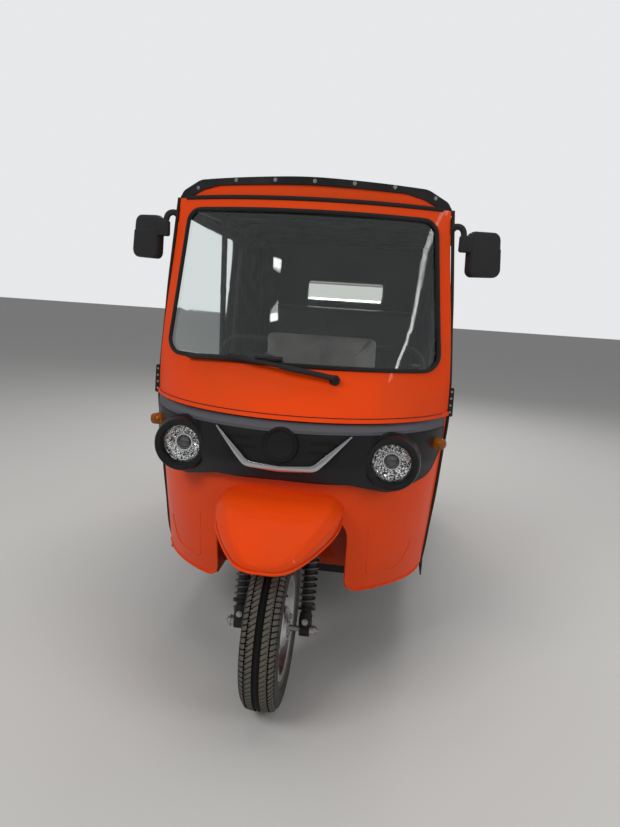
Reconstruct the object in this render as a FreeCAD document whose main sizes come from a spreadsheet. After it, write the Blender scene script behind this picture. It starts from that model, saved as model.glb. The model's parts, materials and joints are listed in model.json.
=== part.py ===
import FreeCAD, Part
import math
import os

# Three-wheeled auto rickshaw, in millimetres: +Z up, the nose towards -Y, +X its left side.
# The panels are drawn with y = 0 at the front axle, and one placement brings every piece
# to the frame whose origin is on the ground under the middle of the vehicle.

doc = FreeCAD.newDocument("auto_rickshaw")
vec = FreeCAD.Vector

# Driving sizes: name, value
driving_sizes = [
    ("wheelbase", 2000),
    ("rear_track", 1090),
    ("rear_overhang", 342),
    ("tyre_radius", 258),
    ("tyre_width", 116),
    ("bead_radius", 152),
    ("hub_radius", 68),
    ("front_hub_width", 110),
    ("rear_hub_width", 96),
    ("spoke_count", 8),
    ("axle_radius", 9),
    ("shaft_radius", 14),
    ("bearing_clearance", 0.05),
    ("rake_angle", 17),
    ("fork_offset", 9),
    ("leg_spread", 108),
    ("leg_radius", 16),
    ("spring_radius", 28),
    ("spring_wire", 8),
    ("spring_length", 236),
    ("spring_turns", 12),
    ("stem_radius", 17),
    ("head_tube_radius", 25),
    ("steering_limit", 35),
    ("panel_wall", 4),
    ("panel_base", 345),
    ("panel_half_base", 485),
    ("belt_height", 943),
    ("belt_half", 522),
    ("side_return", 40),
    ("header_height", 1630),
    ("header_half", 468),
    ("glass_base", 1106),
    ("glass_half_base", 470),
    ("glass_top", 1584),
    ("glass_half_top", 416),
    ("glass_corner", 42),
    ("glass_wall", 5),
    ("seal_width", 12),
    ("mask_base", 760),
    ("mask_wall", 5),
    ("lamp_spread", 340),
    ("lamp_height", 823),
    ("lamp_radius", 60),
    ("bezel_radius", 84),
    ("arch_half", 220),
    ("arch_height", 640),
    ("mudguard_half", 205),
    ("mudguard_reach", 250),
    ("mudguard_top", 706),
    ("floor_height", 350),
    ("floor_half", 500),
    ("rail_spread", 300),
    ("rail_size", 40),
    ("hood_wall", 5),
    ("hood_height", 1735),
    ("hood_half_top", 545),
    ("tail_half", 600),
    ("fender_half", 615),
    ("waist_height", 920),
    ("tail_base", 400),
    ("entry_end", 1400),
    ("hoop_radius", 13),
    ("seat_height", 690),
    ("bench_height", 760),
    ("lid_half", 330),
    ("lid_base", 520),
    ("lid_top", 860),
    ("lid_gap", 6),
]

sizes = doc.addObject("Spreadsheet::Sheet", "Sizes")
for row, (name, value) in enumerate(driving_sizes, start=1):
    sizes.set("A%d" % row, name)
    sizes.set("B%d" % row, str(value))
    sizes.setAlias("B%d" % row, name)
doc.recompute()


def size(name):
    return float(sizes.get(name))


wheelbase = size("wheelbase")
tyre_radius = size("tyre_radius")
wall = size("panel_wall")
front_axle = tyre_radius - (wheelbase + tyre_radius + size("rear_overhang")) / 2
tail_end = wheelbase + size("rear_overhang")
seat_gap = 0.3
bearing = size("bearing_clearance")

# The three ways a flat outline is set up: its x and y become X and Z, Y and Z, or X and Y
front_view = (FreeCAD.Rotation(vec(1, 0, 0), 90), vec(0, 1, 0))
side_view = (FreeCAD.Rotation(vec(1, 1, 1), 120), vec(1, 0, 0))
plan_view = (FreeCAD.Rotation(), vec(0, 0, 1))

subparts = {}


def keep(label, item, place=vec(0, 0, 0), turn=FreeCAD.Rotation()):
    # Names a finished sub-part and brings it from the front axle's frame to the vehicle's
    item.Label = label
    item.Placement = FreeCAD.Placement(place + vec(0, front_axle, 0), turn)
    subparts[label] = item
    return item


def keep_shape(label, shape, place=vec(0, 0, 0), turn=FreeCAD.Rotation()):
    item = doc.addObject("Part::Feature", label + "_shape")
    item.Shape = shape
    return keep(label, item, place, turn)


def outline(points):
    # Closed outline from (x, y) or (x, y, corner radius) points, as lines and tangent arcs
    corners = []
    for index, point in enumerate(points):
        here = vec(point[0], point[1], 0)
        radius = point[2] if len(point) > 2 else 0
        if radius == 0:
            corners.append((here, here, None))
            continue
        before = vec(points[index - 1][0], points[index - 1][1], 0)
        after_point = points[(index + 1) % len(points)]
        after = vec(after_point[0], after_point[1], 0)
        back = (before - here).normalize()
        ahead = (after - here).normalize()
        half_angle = back.getAngle(ahead) / 2
        run = radius / math.tan(half_angle)
        centre = here + (back + ahead).normalize() * (radius / math.sin(half_angle))
        middle = centre + (here - centre).normalize() * radius
        start = here + back * run
        end = here + ahead * run
        corners.append((start, end, Part.Arc(start, middle, end)))
    curves = []
    for index, (start, end, arc) in enumerate(corners):
        if arc:
            curves.append(arc)
        next_start = corners[(index + 1) % len(corners)][0]
        if (next_start - end).Length > 1e-6:
            curves.append(Part.LineSegment(end, next_start))
    return curves


def mirrored(points):
    # Adds the other half of an outline that starts and ends on the centre line or beside it
    other = [(-point[0],) + tuple(point[1:]) for point in reversed(points) if point[0] > 1e-6]
    return list(points) + other


def prism(points, view, start, end):
    # Solid between two planes across the view's own direction
    rotation, direction = view
    wire = Part.Wire([curve.toShape() for curve in outline(points)])
    face = Part.Face(wire)
    face.Placement = FreeCAD.Placement(direction * start, rotation)
    return face.extrude(direction * (end - start))


def cylinder(radius, start, end):
    axis = end - start
    return Part.makeCylinder(radius, axis.Length, start, axis)


def box(low, high):
    return Part.makeBox(high[0] - low[0], high[1] - low[1], high[2] - low[2], vec(*low))


def path(points):
    # Straight runs joined by tangent arcs through (x, y, z, bend radius) points
    edges = []
    last = vec(*points[0][:3])
    for index in range(1, len(points) - 1):
        here = vec(*points[index][:3])
        before = vec(*points[index - 1][:3])
        after = vec(*points[index + 1][:3])
        back = (before - here).normalize()
        ahead = (after - here).normalize()
        half_angle = back.getAngle(ahead) / 2
        radius = points[index][3]
        run = radius / math.tan(half_angle)
        centre = here + (back + ahead).normalize() * (radius / math.sin(half_angle))
        middle = centre + (here - centre).normalize() * radius
        start = here + back * run
        end = here + ahead * run
        edges.append(Part.LineSegment(last, start).toShape())
        edges.append(Part.Arc(start, middle, end).toShape())
        last = end
    edges.append(Part.LineSegment(last, vec(*points[-1][:3])).toShape())
    return Part.Wire(edges)


def tube(points, radius):
    # Round bar along a path
    spine = path(points)
    start = vec(*points[0][:3])
    direction = (vec(*points[1][:3]) - start).normalize()
    ring = Part.Wire([Part.makeCircle(radius, start, direction)])
    return spine.makePipeShell([ring], True, False)


def both_sides(shape):
    return [shape, shape.mirror(vec(0, 0, 0), vec(1, 0, 0))]


def fused(shapes):
    return shapes[0].multiFuse(shapes[1:]).removeSplitter()


def cab_wire(height, half, centre, end, back):
    # One level of the cab's nose: straight sides joined by an arc across the front
    corners = [vec(-half, back, height), vec(-half, end, height), vec(half, end, height), vec(half, back, height)]
    edges = [
        Part.LineSegment(corners[0], corners[1]),
        Part.Arc(corners[1], vec(0, centre, height), corners[2]),
        Part.LineSegment(corners[2], corners[3]),
        Part.LineSegment(corners[3], corners[0]),
    ]
    return Part.Wire([edge.toShape() for edge in edges])


def cab_solid(levels, inset=0, lengthen=0, back=0):
    # Loft through the levels, moved inwards by the inset
    wires = []
    for index, (height, half, centre, end) in enumerate(levels):
        if index == 0:
            height = height - lengthen
        if index == len(levels) - 1:
            height = height + lengthen
        wires.append(cab_wire(height, half - inset, centre + inset, end, end + size("side_return") + back))
    return Part.makeLoft(wires, True, False)


def cab_shell(levels, outside, inside):
    # Skin between two insets, open at the back, above and below
    return cab_solid(levels, outside).cut(cab_solid(levels, inside, 2, 20))


# Levels of the nose: height, half width, y at the centre, y where the side begins
upper_levels = [
    (size("belt_height"), size("belt_half"), 0, 335),
    (1060, 520, 86, 335),
    (1330, 496, 178, 345),
    (size("header_height"), size("header_half"), 250, 360),
]
lower_levels = [
    (size("panel_base"), size("panel_half_base"), 75, 400),
    (650, 508, 18, 375),
    (size("belt_height") - seat_gap, size("belt_half"), 6, 345),
]
mask_levels = [
    (640, 512, 12, 323),
    (800, 516, -38, 318),
    (size("belt_height") - 21, 516, -34, 318),
    (size("belt_height") + 1, 516, 10, 323),
]


def glass_outline(grow):
    base = size("glass_base") - grow
    top = size("glass_top") + grow
    corner = size("glass_corner") + grow
    return mirrored([
        (size("glass_half_base") + grow, base, corner),
        (size("glass_half_top") + grow, top, corner),
    ])


def make_front_cowl():
    # One pressed panel: cowl, pillars and header round the windscreen, with a rolled lip at the belt
    skin = cab_shell(upper_levels, 0, wall)
    window = prism(glass_outline(size("seal_width") + seat_gap), front_view, -200, 600)
    lip_levels = [
        (size("belt_height"), size("belt_half"), 0, 335),
        (size("belt_height") + 14, size("belt_half"), 9, 335),
    ]
    lip_roll = 7
    lip = cab_shell(lip_levels, -lip_roll, 1).common(box((-600, -100, 900), (600, 332, 1000)))
    keep_shape("front_cowl", fused([skin.cut(window), lip]))


def make_windscreen():
    recess = 2
    opening = prism(glass_outline(-seat_gap), front_view, -200, 600)
    pane = cab_shell(upper_levels, recess, recess + size("glass_wall")).common(opening)
    keep_shape("windscreen_glass", pane)
    ring = prism(glass_outline(size("seal_width")), front_view, -200, 600)
    ring = ring.cut(prism(glass_outline(0), front_view, -200, 600))
    seal = cab_shell(upper_levels, -3, recess + size("glass_wall") + 3).common(ring)
    keep_shape("windscreen_seal", seal)


def make_front_panel():
    # Legshield with two lobes, open between them for the wheel
    skin = cab_shell(lower_levels, 0, wall)
    half = size("arch_half")
    base = size("panel_base") - 1
    widest = size("panel_half_base") + 4
    top = size("belt_height") + 20
    panel = skin.common(prism(mirrored([
        (0, size("arch_height")), (half, size("arch_height"), 90), (half, base, 45), (widest, base, 60),
        (widest + 70, 700), (widest + 70, top), (0, top),
    ]), front_view, -200, 500))
    for side in (-1, 1):
        x = side * size("lamp_spread")
        z = size("lamp_height")
        panel = panel.cut(cylinder(size("lamp_radius") + 3, vec(x, -100, z), vec(x, 400, z)))
    keep_shape("front_panel", panel)


def make_wheel_house():
    # Box behind and over the wheel, with a hole for the steering head
    half = size("arch_half")
    rear = 316
    roof = 705
    outer = box((-half - wall, 40, size("floor_height") + 8), (half + wall, rear + wall, roof + wall))
    inner = box((-half, -20, 0), (half, rear, roof))
    head = cylinder(size("head_tube_radius") + 12, vec(0, 130, 600), vec(0, 170, 800))
    nose = cab_solid(lower_levels, wall + seat_gap, 2, 400)
    foot = box((-half - wall, rear, size("floor_height")), (half + wall, rear + wall, size("floor_height") + 27))
    keep_shape("wheel_house", fused([outer.cut(inner).cut(head).common(nose), foot]))


def mask_outline(grow=0):
    base = size("mask_base")
    top = size("belt_height") - 3
    return mirrored([
        (0, base - grow),
        (215, base - 9 - grow, 60),
        (345 + grow, base - 46 - grow, 80),
        (470 + grow, base - 6 - grow, 70),
        (508 + grow, base + 85),
        (511 + grow, top + grow, 6),
        (0, top + grow),
    ])


def make_front_mask():
    # Hollow black moulding on the nose, with deep lamp bezels
    outside = cab_solid(mask_levels)
    inside = cab_solid(mask_levels, size("mask_wall"), 0, 10)
    panel = cab_solid(lower_levels, -seat_gap, 0, 100)
    room = prism(mask_outline(), front_view, -300, 500)
    hollow = prism(mask_outline(-size("mask_wall")), front_view, -300, 500)
    tray = outside.common(room).cut(inside.common(hollow)).cut(panel)
    bezels = []
    openings = []
    bezel_face = 46
    for side in (-1, 1):
        x = side * size("lamp_spread")
        z = size("lamp_height")
        tube_body = Part.makeCone(size("bezel_radius"), size("bezel_radius") + 10, 160, vec(x, bezel_face, z), vec(0, 1, 0))
        bezels.append(tube_body.cut(panel))
        openings.append(Part.makeCone(size("bezel_radius") + 9, size("bezel_radius") - 1, 100, vec(x, bezel_face - 100, z), vec(0, 1, 0)))
        openings.append(cylinder(size("lamp_radius") + seat_gap, vec(x, bezel_face - 60, z), vec(x, 300, z)))
    mask = fused([tray] + bezels)
    for opening in openings:
        mask = mask.cut(opening)
    keep_shape("front_mask", mask)


def make_mask_trim():
    # Silver smile: thin at the tips, thicker along the bottom
    shape = prism(mirrored([
        (0, 791), (112, 797, 30), (140, 822, 20), (214, 906), (210, 908),
        (126, 832, 20), (104, 813, 30), (0, 806),
    ]), front_view, -300, 200)
    raised = cab_solid(mask_levels, -8).cut(cab_solid(mask_levels, -seat_gap))
    keep_shape("mask_trim", shape.common(raised))


def make_headlamps():
    # Domed lens on a bowl, turned about the lamp's own axis
    radius = size("lamp_radius")
    for side, label in ((-1, "headlamp_right"), (1, "headlamp_left")):
        body = doc.addObject("PartDesign::Body", label + "_body")
        profile = [(0, -14), (radius * 0.62, -9, 40), (radius, 4, 6), (radius, 30, 5), (radius * 0.45, 92, 6), (0, 92)]
        turned(body, profile)
        keep(label, body, vec(side * size("lamp_spread"), 56, size("lamp_height")))


def turned(body, profile):
    # Revolution about the Y axis of a (radius, y) profile
    sketch = sketch_on(body, "XY_Plane", profile)
    spin = body.newObject("PartDesign::Revolution", body.Name + "_turn")
    spin.Profile = sketch
    spin.ReferenceAxis = (sketch, ["V_Axis"])
    spin.Angle = 360
    body.Tip = spin
    return spin


def sketch_on(body, role, points, suffix="_sketch"):
    plane = [feature for feature in body.Origin.OriginFeatures if feature.Role == role][0]
    sketch = body.newObject("Sketcher::SketchObject", body.Name + suffix)
    sketch.AttachmentSupport = [(plane, "")]
    sketch.MapMode = "FlatFace"
    sketch.addGeometry(outline(points), False)
    return sketch


def axle_turned(body, profile, suffix):
    # Revolution about the wheel's axis (X) of an (x, radius) profile
    sketch = sketch_on(body, "XY_Plane", profile, suffix + "_sketch")
    spin = body.newObject("PartDesign::Revolution", body.Name + suffix)
    spin.Profile = sketch
    spin.ReferenceAxis = (sketch, ["H_Axis"])
    spin.Angle = 360
    body.Tip = spin
    return spin


def make_wheel(label, place, hub_width, bore):
    # Tyre, and an alloy wheel with spokes and a drum hub
    radius = tyre_radius
    half = size("tyre_width") / 2
    bead = size("bead_radius")
    body = doc.addObject("PartDesign::Body", label + "_tyre_body")
    axle_turned(body, mirrored([
        (half * 0.72, bead - 0.2),
        (half * 0.72, bead + 16, 6),
        (half, bead + 40, 26),
        (half * 0.95, radius - 24, 16),
        (half * 0.55, radius - 3, 40),
        (0, radius),
    ]), "_tread")
    keep(label.replace("wheel", "tyre"), body, place)
    rim = doc.addObject("PartDesign::Body", label + "_rim_body")
    hub = size("hub_radius")
    hub_half = hub_width / 2
    axle_turned(rim, [
        (-hub_half, bore), (hub_half, bore), (hub_half, hub - 22, 6), (hub_half - 14, hub, 10),
        (-hub_half + 6, hub, 4), (-hub_half, hub - 10, 4),
    ], "_hub")
    spoke_half = 11
    spoke = sketch_on(rim, "YZ_Plane", [
        (-spoke_half - 5, hub - 6), (spoke_half + 5, hub - 6), (spoke_half, bead - 22), (-spoke_half, bead - 22),
    ], "_spoke_sketch")
    pad = rim.newObject("PartDesign::Pad", rim.Name + "_spoke")
    pad.Profile = spoke
    pad.Length = 16
    pad.Midplane = True
    rim.Tip = pad
    around = rim.newObject("PartDesign::PolarPattern", rim.Name + "_spokes")
    around.Originals = [pad]
    around.Axis = (rim.Origin.OriginFeatures[0], [""])
    around.Angle = 360
    around.setExpression("Occurrences", "Sizes.spoke_count")
    rim.Tip = around
    flange = half * 0.78
    axle_turned(rim, [
        (-flange, bead - 0.5), (-flange, bead + 14), (-flange - 4, bead + 14, 1.5), (-flange - 4, bead - 6, 3),
        (-half * 0.35, bead - 12, 8), (-half * 0.3, bead - 26, 6), (half * 0.3, bead - 26, 6),
        (half * 0.35, bead - 12, 8), (flange + 4, bead - 6, 3), (flange + 4, bead + 14, 1.5),
        (flange, bead + 14), (flange, bead - 0.5),
    ], "_rim")
    keep(label.replace("wheel", "rim"), rim, place)


def make_fork():
    # Twin-leg fork in its own upright frame: z = 0 at the axle, then leaned back by the rake
    rake = FreeCAD.Rotation(vec(1, 0, 0), -size("rake_angle"))
    place = vec(0, 0, tyre_radius)
    spread = size("leg_spread")
    leg = size("leg_radius")
    stem = size("stem_radius")
    behind = size("fork_offset")
    spring_base = 72
    spring_top = spring_base + size("spring_length")
    yoke_base = spring_top + 6
    yoke_top = yoke_base + 26
    stem_top = 650
    pieces = []
    for side in (-1, 1):
        x = side * spread
        pieces.append(cylinder(leg, vec(x, 0, -14), vec(x, 0, yoke_top + 6)))
        pieces.append(cylinder(22, vec(x - 16, 0, 0), vec(x + 16, 0, 0)))
        pieces.append(cylinder(size("spring_radius") + 1, vec(x, 0, spring_base - 8), vec(x, 0, spring_base - seat_gap)))
        pieces.append(cylinder(size("spring_radius") + 1, vec(x, 0, spring_top + seat_gap), vec(x, 0, yoke_base)))
    yoke = prism(mirrored([
        (0, -30), (spread + 6, -24, 14), (spread + 26, 0, 14), (spread + 6, 26, 14), (36, 38, 20), (0, 42),
    ]), plan_view, yoke_base, yoke_top)
    pieces.append(yoke)
    pieces.append(cylinder(stem, vec(0, behind, yoke_top - 5), vec(0, behind, stem_top)))
    pieces.append(cylinder(stem + 8, vec(0, behind, stem_top - 28), vec(0, behind, stem_top)))
    shape = fused(pieces).cut(cylinder(size("axle_radius") + seat_gap, vec(-200, 0, 0), vec(200, 0, 0)))
    keep_shape("fork", shape, place, rake)

    # Coil springs round the legs, as a stack of turns on a sleeve
    springs = []
    turns = int(size("spring_turns"))
    pitch = size("spring_length") / turns
    wire = size("spring_wire") / 2
    middle = size("spring_radius") - wire
    for side in (-1, 1):
        profile = [(leg + 0.3, 0), (leg + 0.3, size("spring_length"))]
        for turn in range(turns - 1, -1, -1):
            z = pitch * (turn + 0.5)
            profile.append((middle - 3, z + pitch / 2))
            profile.append((middle - 3, z + wire * 0.8))
            profile.append((middle + wire, z + wire * 0.7, 2.2))
            profile.append((middle + wire, z - wire * 0.7, 2.2))
            profile.append((middle - 3, z - wire * 0.8))
        profile.append((middle - 3, 0))
        face = Part.Face(Part.Wire([curve.toShape() for curve in outline(profile)]))
        face.Placement = FreeCAD.Placement(vec(0, 0, spring_base), front_view[0])
        spring = face.revolve(vec(0, 0, spring_base), vec(0, 0, 1), 360)
        spring.translate(vec(side * spread, 0, 0))
        springs.append(spring)
    keep_shape("fork_springs", Part.makeCompound(springs), place, rake)

    axle = cylinder(size("axle_radius"), vec(-spread - 26, 0, 0), vec(spread + 26, 0, 0))
    nuts = [cylinder(15, vec(side * (spread + 16.3), 0, 0), vec(side * (spread + 28), 0, 0)) for side in (-1, 1)]
    keep_shape("front_axle", fused([axle] + nuts), place)

    # Handlebar: rises from the stem and sweeps back to the grips
    elbow = (205, behind + 70, stem_top + 150)
    tip = (300, behind + 195, stem_top + 168)
    grip = tube([(0, behind, stem_top + 17, 0), (120, behind, stem_top + 20, 50), elbow + (45,), tip + (0,)], 11)
    inner_end = tuple(elbow[axis] + 0.35 * (tip[axis] - elbow[axis]) for axis in range(3))
    hand = cylinder(17, vec(*inner_end), vec(*tip))
    clamp = box((-34, behind - 20, stem_top + seat_gap), (34, behind + 20, stem_top + 34))
    keep_shape("handlebar", fused(both_sides(grip) + both_sides(hand) + [clamp]), place, rake)


def make_chassis():
    rail = size("rail_size")
    spread = size("rail_spread")
    rail_top = size("floor_height")
    rail_base = rail_top - rail
    pieces = []
    for side in (-1, 1):
        x = side * spread
        pieces.append(box((x - rail / 2, 340, rail_base), (x + rail / 2, tail_end - 40, rail_top)))
    for y in (340, 760, 1150, 1560, tail_end - 80):
        pieces.append(box((-spread, y, rail_base), (spread, y + rail, rail_top)))
    outer = spread + rail / 2
    for side in (-1, 1):
        # Trailing arm pivots and engine lugs
        low = min(side * (outer - 24), side * outer)
        pieces.append(box((low, 1586, 272), (low + 24, 1634, rail_base)))
        pieces.append(cylinder(12, vec(side * (outer - 10), 1610, 298), vec(side * 490, 1610, 298)))
        low = min(side * 150, side * (spread - rail / 2))
        pieces.append(box((low, 1860, 316), (low + spread - rail / 2 - 150, 1900, 346)))
    tongue = box((-30, tail_end - 50, 312), (30, tail_end - 2, 322))
    pieces.append(tongue)
    # Backbone from the cross-member up and forward to the steering head
    pieces.append(box((-30, 330, rail_base), (30, 380, 830)))
    pieces.append(box((-26, 160, 728), (26, 380, 790)))
    rake = math.radians(size("rake_angle"))
    behind = size("fork_offset")
    along = vec(0, math.sin(rake), math.cos(rake))
    foot = vec(0, behind * math.cos(rake), tyre_radius - behind * math.sin(rake))
    head_base = foot + along * 352
    head_top = foot + along * 612
    pieces.append(cylinder(size("head_tube_radius"), head_base, head_top))
    # Uprights for the rear shock absorbers
    for side in (-1, 1):
        x = side * 388
        pieces.append(box((min(x, side * spread), 1900, rail_base), (max(x, side * spread), 1940, rail_top)))
        pieces.append(box((x - 15, 1900, rail_base), (x + 15, 1940, 600)))
        pieces.append(box((min(x, side * 462), 1895, 600), (max(x, side * 462), 1945, 610)))
    frame = fused(pieces)
    bore = size("stem_radius") + size("bearing_clearance")
    frame = frame.cut(cylinder(bore, foot + along * 300, foot + along * 700))
    frame = frame.cut(cylinder(11, vec(0, tail_end - 22, 300), vec(0, tail_end - 22, 330)))
    keep_shape("chassis_frame", frame)


def make_floor():
    height = size("floor_height")
    half = size("floor_half")
    back = 1560
    front = 320
    nose_floor = box((-half, front, height), (half, 442, height + wall))
    nose = cab_solid(lower_levels, wall + seat_gap, 0, 2000)
    sheet = box((-half, 442, height), (half, back, height + wall))
    post = box((-31, 300, height - 5), (31, 381, height + 50))
    sills = []
    for side in (-1, 1):
        low = (min(side * half, side * (half - wall)), 446, height - 60)
        high = (max(side * half, side * (half - wall)), back, height)
        sills.append(box(low, high))
    keep_shape("floor_pan", fused([nose_floor.common(nose), sheet] + sills).cut(post))


def make_mudguard():
    # Beak over the front wheel: three planes between creases, from the panel to the rounded tip
    # Share of the reach, then half width and height of the rim, the side corner, the upper corner
    # and the crease, and the height of the crown
    stations = [
        (-0.32, 197, 630, 205, 668, 174, 704, 108, 710, 714),
        (0.00, 197, 618, 203, 660, 172, 696, 105, 702, 706),
        (0.22, 185, 605, 190, 646, 162, 679, 101, 686, 691),
        (0.45, 160, 590, 165, 625, 140, 655, 95, 663, 669),
        (0.66, 130, 575, 135, 603, 116, 628, 87, 637, 643),
        (0.84, 98, 563, 102, 584, 90, 601, 77, 609, 615),
        (0.95, 71, 556, 74, 570, 68, 580, 62, 586, 590),
        (1.00, 38, 552, 40, 560, 37, 565, 34, 568, 569),
    ]
    reach = size("mudguard_reach")
    widen = size("mudguard_half") / 205
    lift = size("mudguard_top") - 706

    def arch(inset):
        wires = []
        for share, rim_x, rim_z, side_x, side_z, upper_x, upper_z, crease_x, crease_z, crown in stations:
            y = -reach * share
            if inset:
                y = y + inset * (0.4 + share)
            if share < 0 and inset:
                y = y + 30
            half = [
                (rim_x - inset, rim_z - 3 * inset),
                (side_x - inset, side_z - 0.3 * inset),
                (upper_x - 0.7 * inset, upper_z - 0.8 * inset),
                (crease_x - 0.2 * inset, crease_z - inset),
                (0, crown - inset),
            ]
            points = [vec(x * widen, y, z + lift) for x, z in mirrored(half)]
            wires.append(Part.makePolygon(points + [points[0]]))
        return Part.makeLoft(wires, True, True)

    shell = arch(0).cut(arch(wall))
    nose = cab_solid(lower_levels, -seat_gap, 0, 300)
    keep_shape("mudguard", shell.cut(nose))


hood_front = 424


def hood_solid(inset):
    # Sections from the roof cap to the tail, then shared with outlines from the side and from above
    waist = size("waist_height") + seat_gap
    top = size("hood_height") - inset
    half = size("hood_half_top") - inset
    tail = size("tail_half") - inset
    header = size("header_half") - inset
    # y, half width at the waist and below the roof, corner, its height and radius, shoulder, its height, crown
    sections = [
        (hood_front, header + 12, header + 11, header - 9, 1656, 30, header - 82, 1688 - inset, 1699 - inset),
        (1050, half, half - 2, half - 22, top - 50, 80, 330, top - 20, top - 3),
        (1450, tail, half + 6, half - 8, top - 52, 80, 330, top - 18, top),
        (1900, tail, half + 6, half - 8, top - 62, 90, 330, top - 26, top - 8),
        (2300, tail, half + 6, half - 10, top - 92, 90, 330, top - 58, top - 42),
    ]
    wires = []
    for y, low, high, corner, corner_z, corner_radius, shoulder, shoulder_z, crown in sections:
        line = outline(mirrored([
            (low, waist - inset * 0.1), (high, 1560, 200), (corner, corner_z, corner_radius), (shoulder, shoulder_z, 200), (0, crown, 900),
        ]))
        wire = Part.Wire([curve.toShape() for curve in line])
        wire.Placement = FreeCAD.Placement(vec(0, y, 0), front_view[0])
        wires.append(wire)
    body = Part.makeLoft(wires, True, True)
    side = prism([
        (300, waist - 1), (300, top + 40), (2030, top + 40), (2140 - inset, top - 36, 150), (2290 - inset, waist - 1),
    ], side_view, -900, 900)
    plan = prism(mirrored([(700, 250), (700, 1450), (605 - inset, 1500), (605 - inset, 2292 - inset, 110)]), plan_view, 800, 1900)
    return body.common(side).common(plan)


def make_hood():
    shell = hood_solid(0).cut(hood_solid(size("hood_wall")))
    entry = box((-900, 200, 0), (900, 1450, 1610))
    window = prism([(-240, 1310, 20), (240, 1310, 20), (240, 1440, 20), (-240, 1440, 20)], front_view, 2050, 2400)
    keep_shape("hood", shell.cut(entry).cut(window))
    pane = prism([(-239, 1311, 19), (239, 1311, 19), (239, 1439, 19), (-239, 1439, 19)], front_view, 2050, 2400)
    keep_shape("rear_window", hood_solid(1.5).cut(hood_solid(3.5)).common(pane))


def header_front(grow):
    # Plan of the header: its front edge bows forward between the pillars
    half = size("header_half") + grow
    edges = [
        Part.LineSegment(vec(-half, 520, 0), vec(-half, 366, 0)),
        Part.Arc(vec(-half, 366, 0), vec(0, 252 - grow, 0), vec(half, 366, 0)),
        Part.LineSegment(vec(half, 366, 0), vec(half, 520, 0)),
        Part.LineSegment(vec(half, 520, 0), vec(-half, 520, 0)),
    ]
    face = Part.Face(Part.Wire([edge.toShape() for edge in edges]))
    face.translate(vec(0, 0, 1500))
    return face.extrude(vec(0, 0, 400))


def make_roof_cap():
    base = size("header_height") + seat_gap
    half = size("header_half")
    arch = [(half - 30, base), (half - 93, base + 25, 40), (half - 153, base + 38, 80), (0, base + 44, 2500)]
    inner = [(x - wall if x else 0, z - wall * (1 if index > 1 else 0)) + tuple(rest)
             for index, (x, z, *rest) in enumerate(arch)]
    solid = prism(mirrored(arch), front_view, 100, 420).common(header_front(0))
    hollow = prism(mirrored(inner), front_view, 100, 500).common(header_front(-wall))
    keep_shape("roof_cap", solid.cut(hollow))


def strip_line():
    # Inner line of the binding, just clear of the roof cap
    base = size("header_height") + 2 * seat_gap
    half = size("header_half")
    return [(half - 29, base - 20), (half - 29, base), (half - 92.5, base + 25.5, 40), (half - 152.5, base + 38.5, 80), (0, base + 44.5, 2500)]


def make_hood_strip():
    # Binding along the hood's front edge, over the roof cap
    base = size("header_height") + 2 * seat_gap
    under = strip_line()
    half = size("header_half")
    over = [(half + 10, base - 8), (half - 12, base + 25, 30), (half - 83, base + 58, 60), (0, base + 69, 2500)]
    band = prism(mirrored(over), front_view, 100, hood_front - seat_gap).cut(prism(mirrored(under), front_view, 90, 600))
    keep_shape("hood_strip", band.common(header_front(8)).cut(cab_solid(upper_levels, -seat_gap, 0, 200)))


def make_hood_frame():
    radius = size("hoop_radius")
    pieces = []
    for side in (-1, 1):
        pieces.append(tube([
            (side * 432, 402, 1607, 0), (side * 500, 1000, 1640, 300), (side * 505, 2060, 1620, 0),
        ], radius))
    floor_top = size("floor_height") + wall + seat_gap
    waist_top = size("waist_height") + 3 * seat_gap
    for y, foot, low_half, top_half, top in (
        (1050, floor_top, 480, 490, 1655), (1450, waist_top, 540, 500, 1660), (2060, waist_top, 540, 500, 1640),
    ):
        pieces.append(tube([
            (-low_half, y, foot, 0), (-top_half, y, top, 60), (top_half, y, top, 60), (low_half, y, foot, 0),
        ], radius))
    keep_shape("hood_frame", fused(pieces))


def make_side_panels():
    # Rear quarter: outer skin with the wheel arch, and the inner wall of the wheel well
    waist = size("waist_height")
    base = size("tail_base")
    tail = size("tail_half")
    fender = size("fender_half")
    start = size("entry_end")
    for side, label in ((-1, "side_panel_right"), (1, "side_panel_left")):
        outer_line = [(470, base), (fender, base), (fender, 640, 120), (tail, waist, 60), (470, waist)]
        inner_line = [(470 + wall, base - 5), (fender - wall, base - 5), (fender - wall, 640, 116), (tail - wall, waist - wall, 56), (470 + wall, waist - wall)]
        skin = prism(outer_line, front_view, start, tail_end - 52)
        hollow = prism(inner_line, front_view, start + wall, tail_end - 52 - wall)
        arch = cylinder(tyre_radius + 42, vec(480, wheelbase, tyre_radius), vec(900, wheelbase, tyre_radius))
        well = cylinder(tyre_radius + 20, vec(400, wheelbase, tyre_radius), vec(490, wheelbase, tyre_radius))
        leg = box((470, start, size("floor_height") + wall), (470 + wall, 1558, base + 5))
        panel = fused([skin.cut(hollow), leg]).cut(arch).cut(well)
        if side < 0:
            panel = panel.mirror(vec(0, 0, 0), vec(1, 0, 0))
        keep_shape(label, panel)


def lid_outline(grow):
    half = size("lid_half") + grow
    return mirrored([(half, size("lid_base") - grow, 40), (half, size("lid_top") + grow, 40)])


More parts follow.
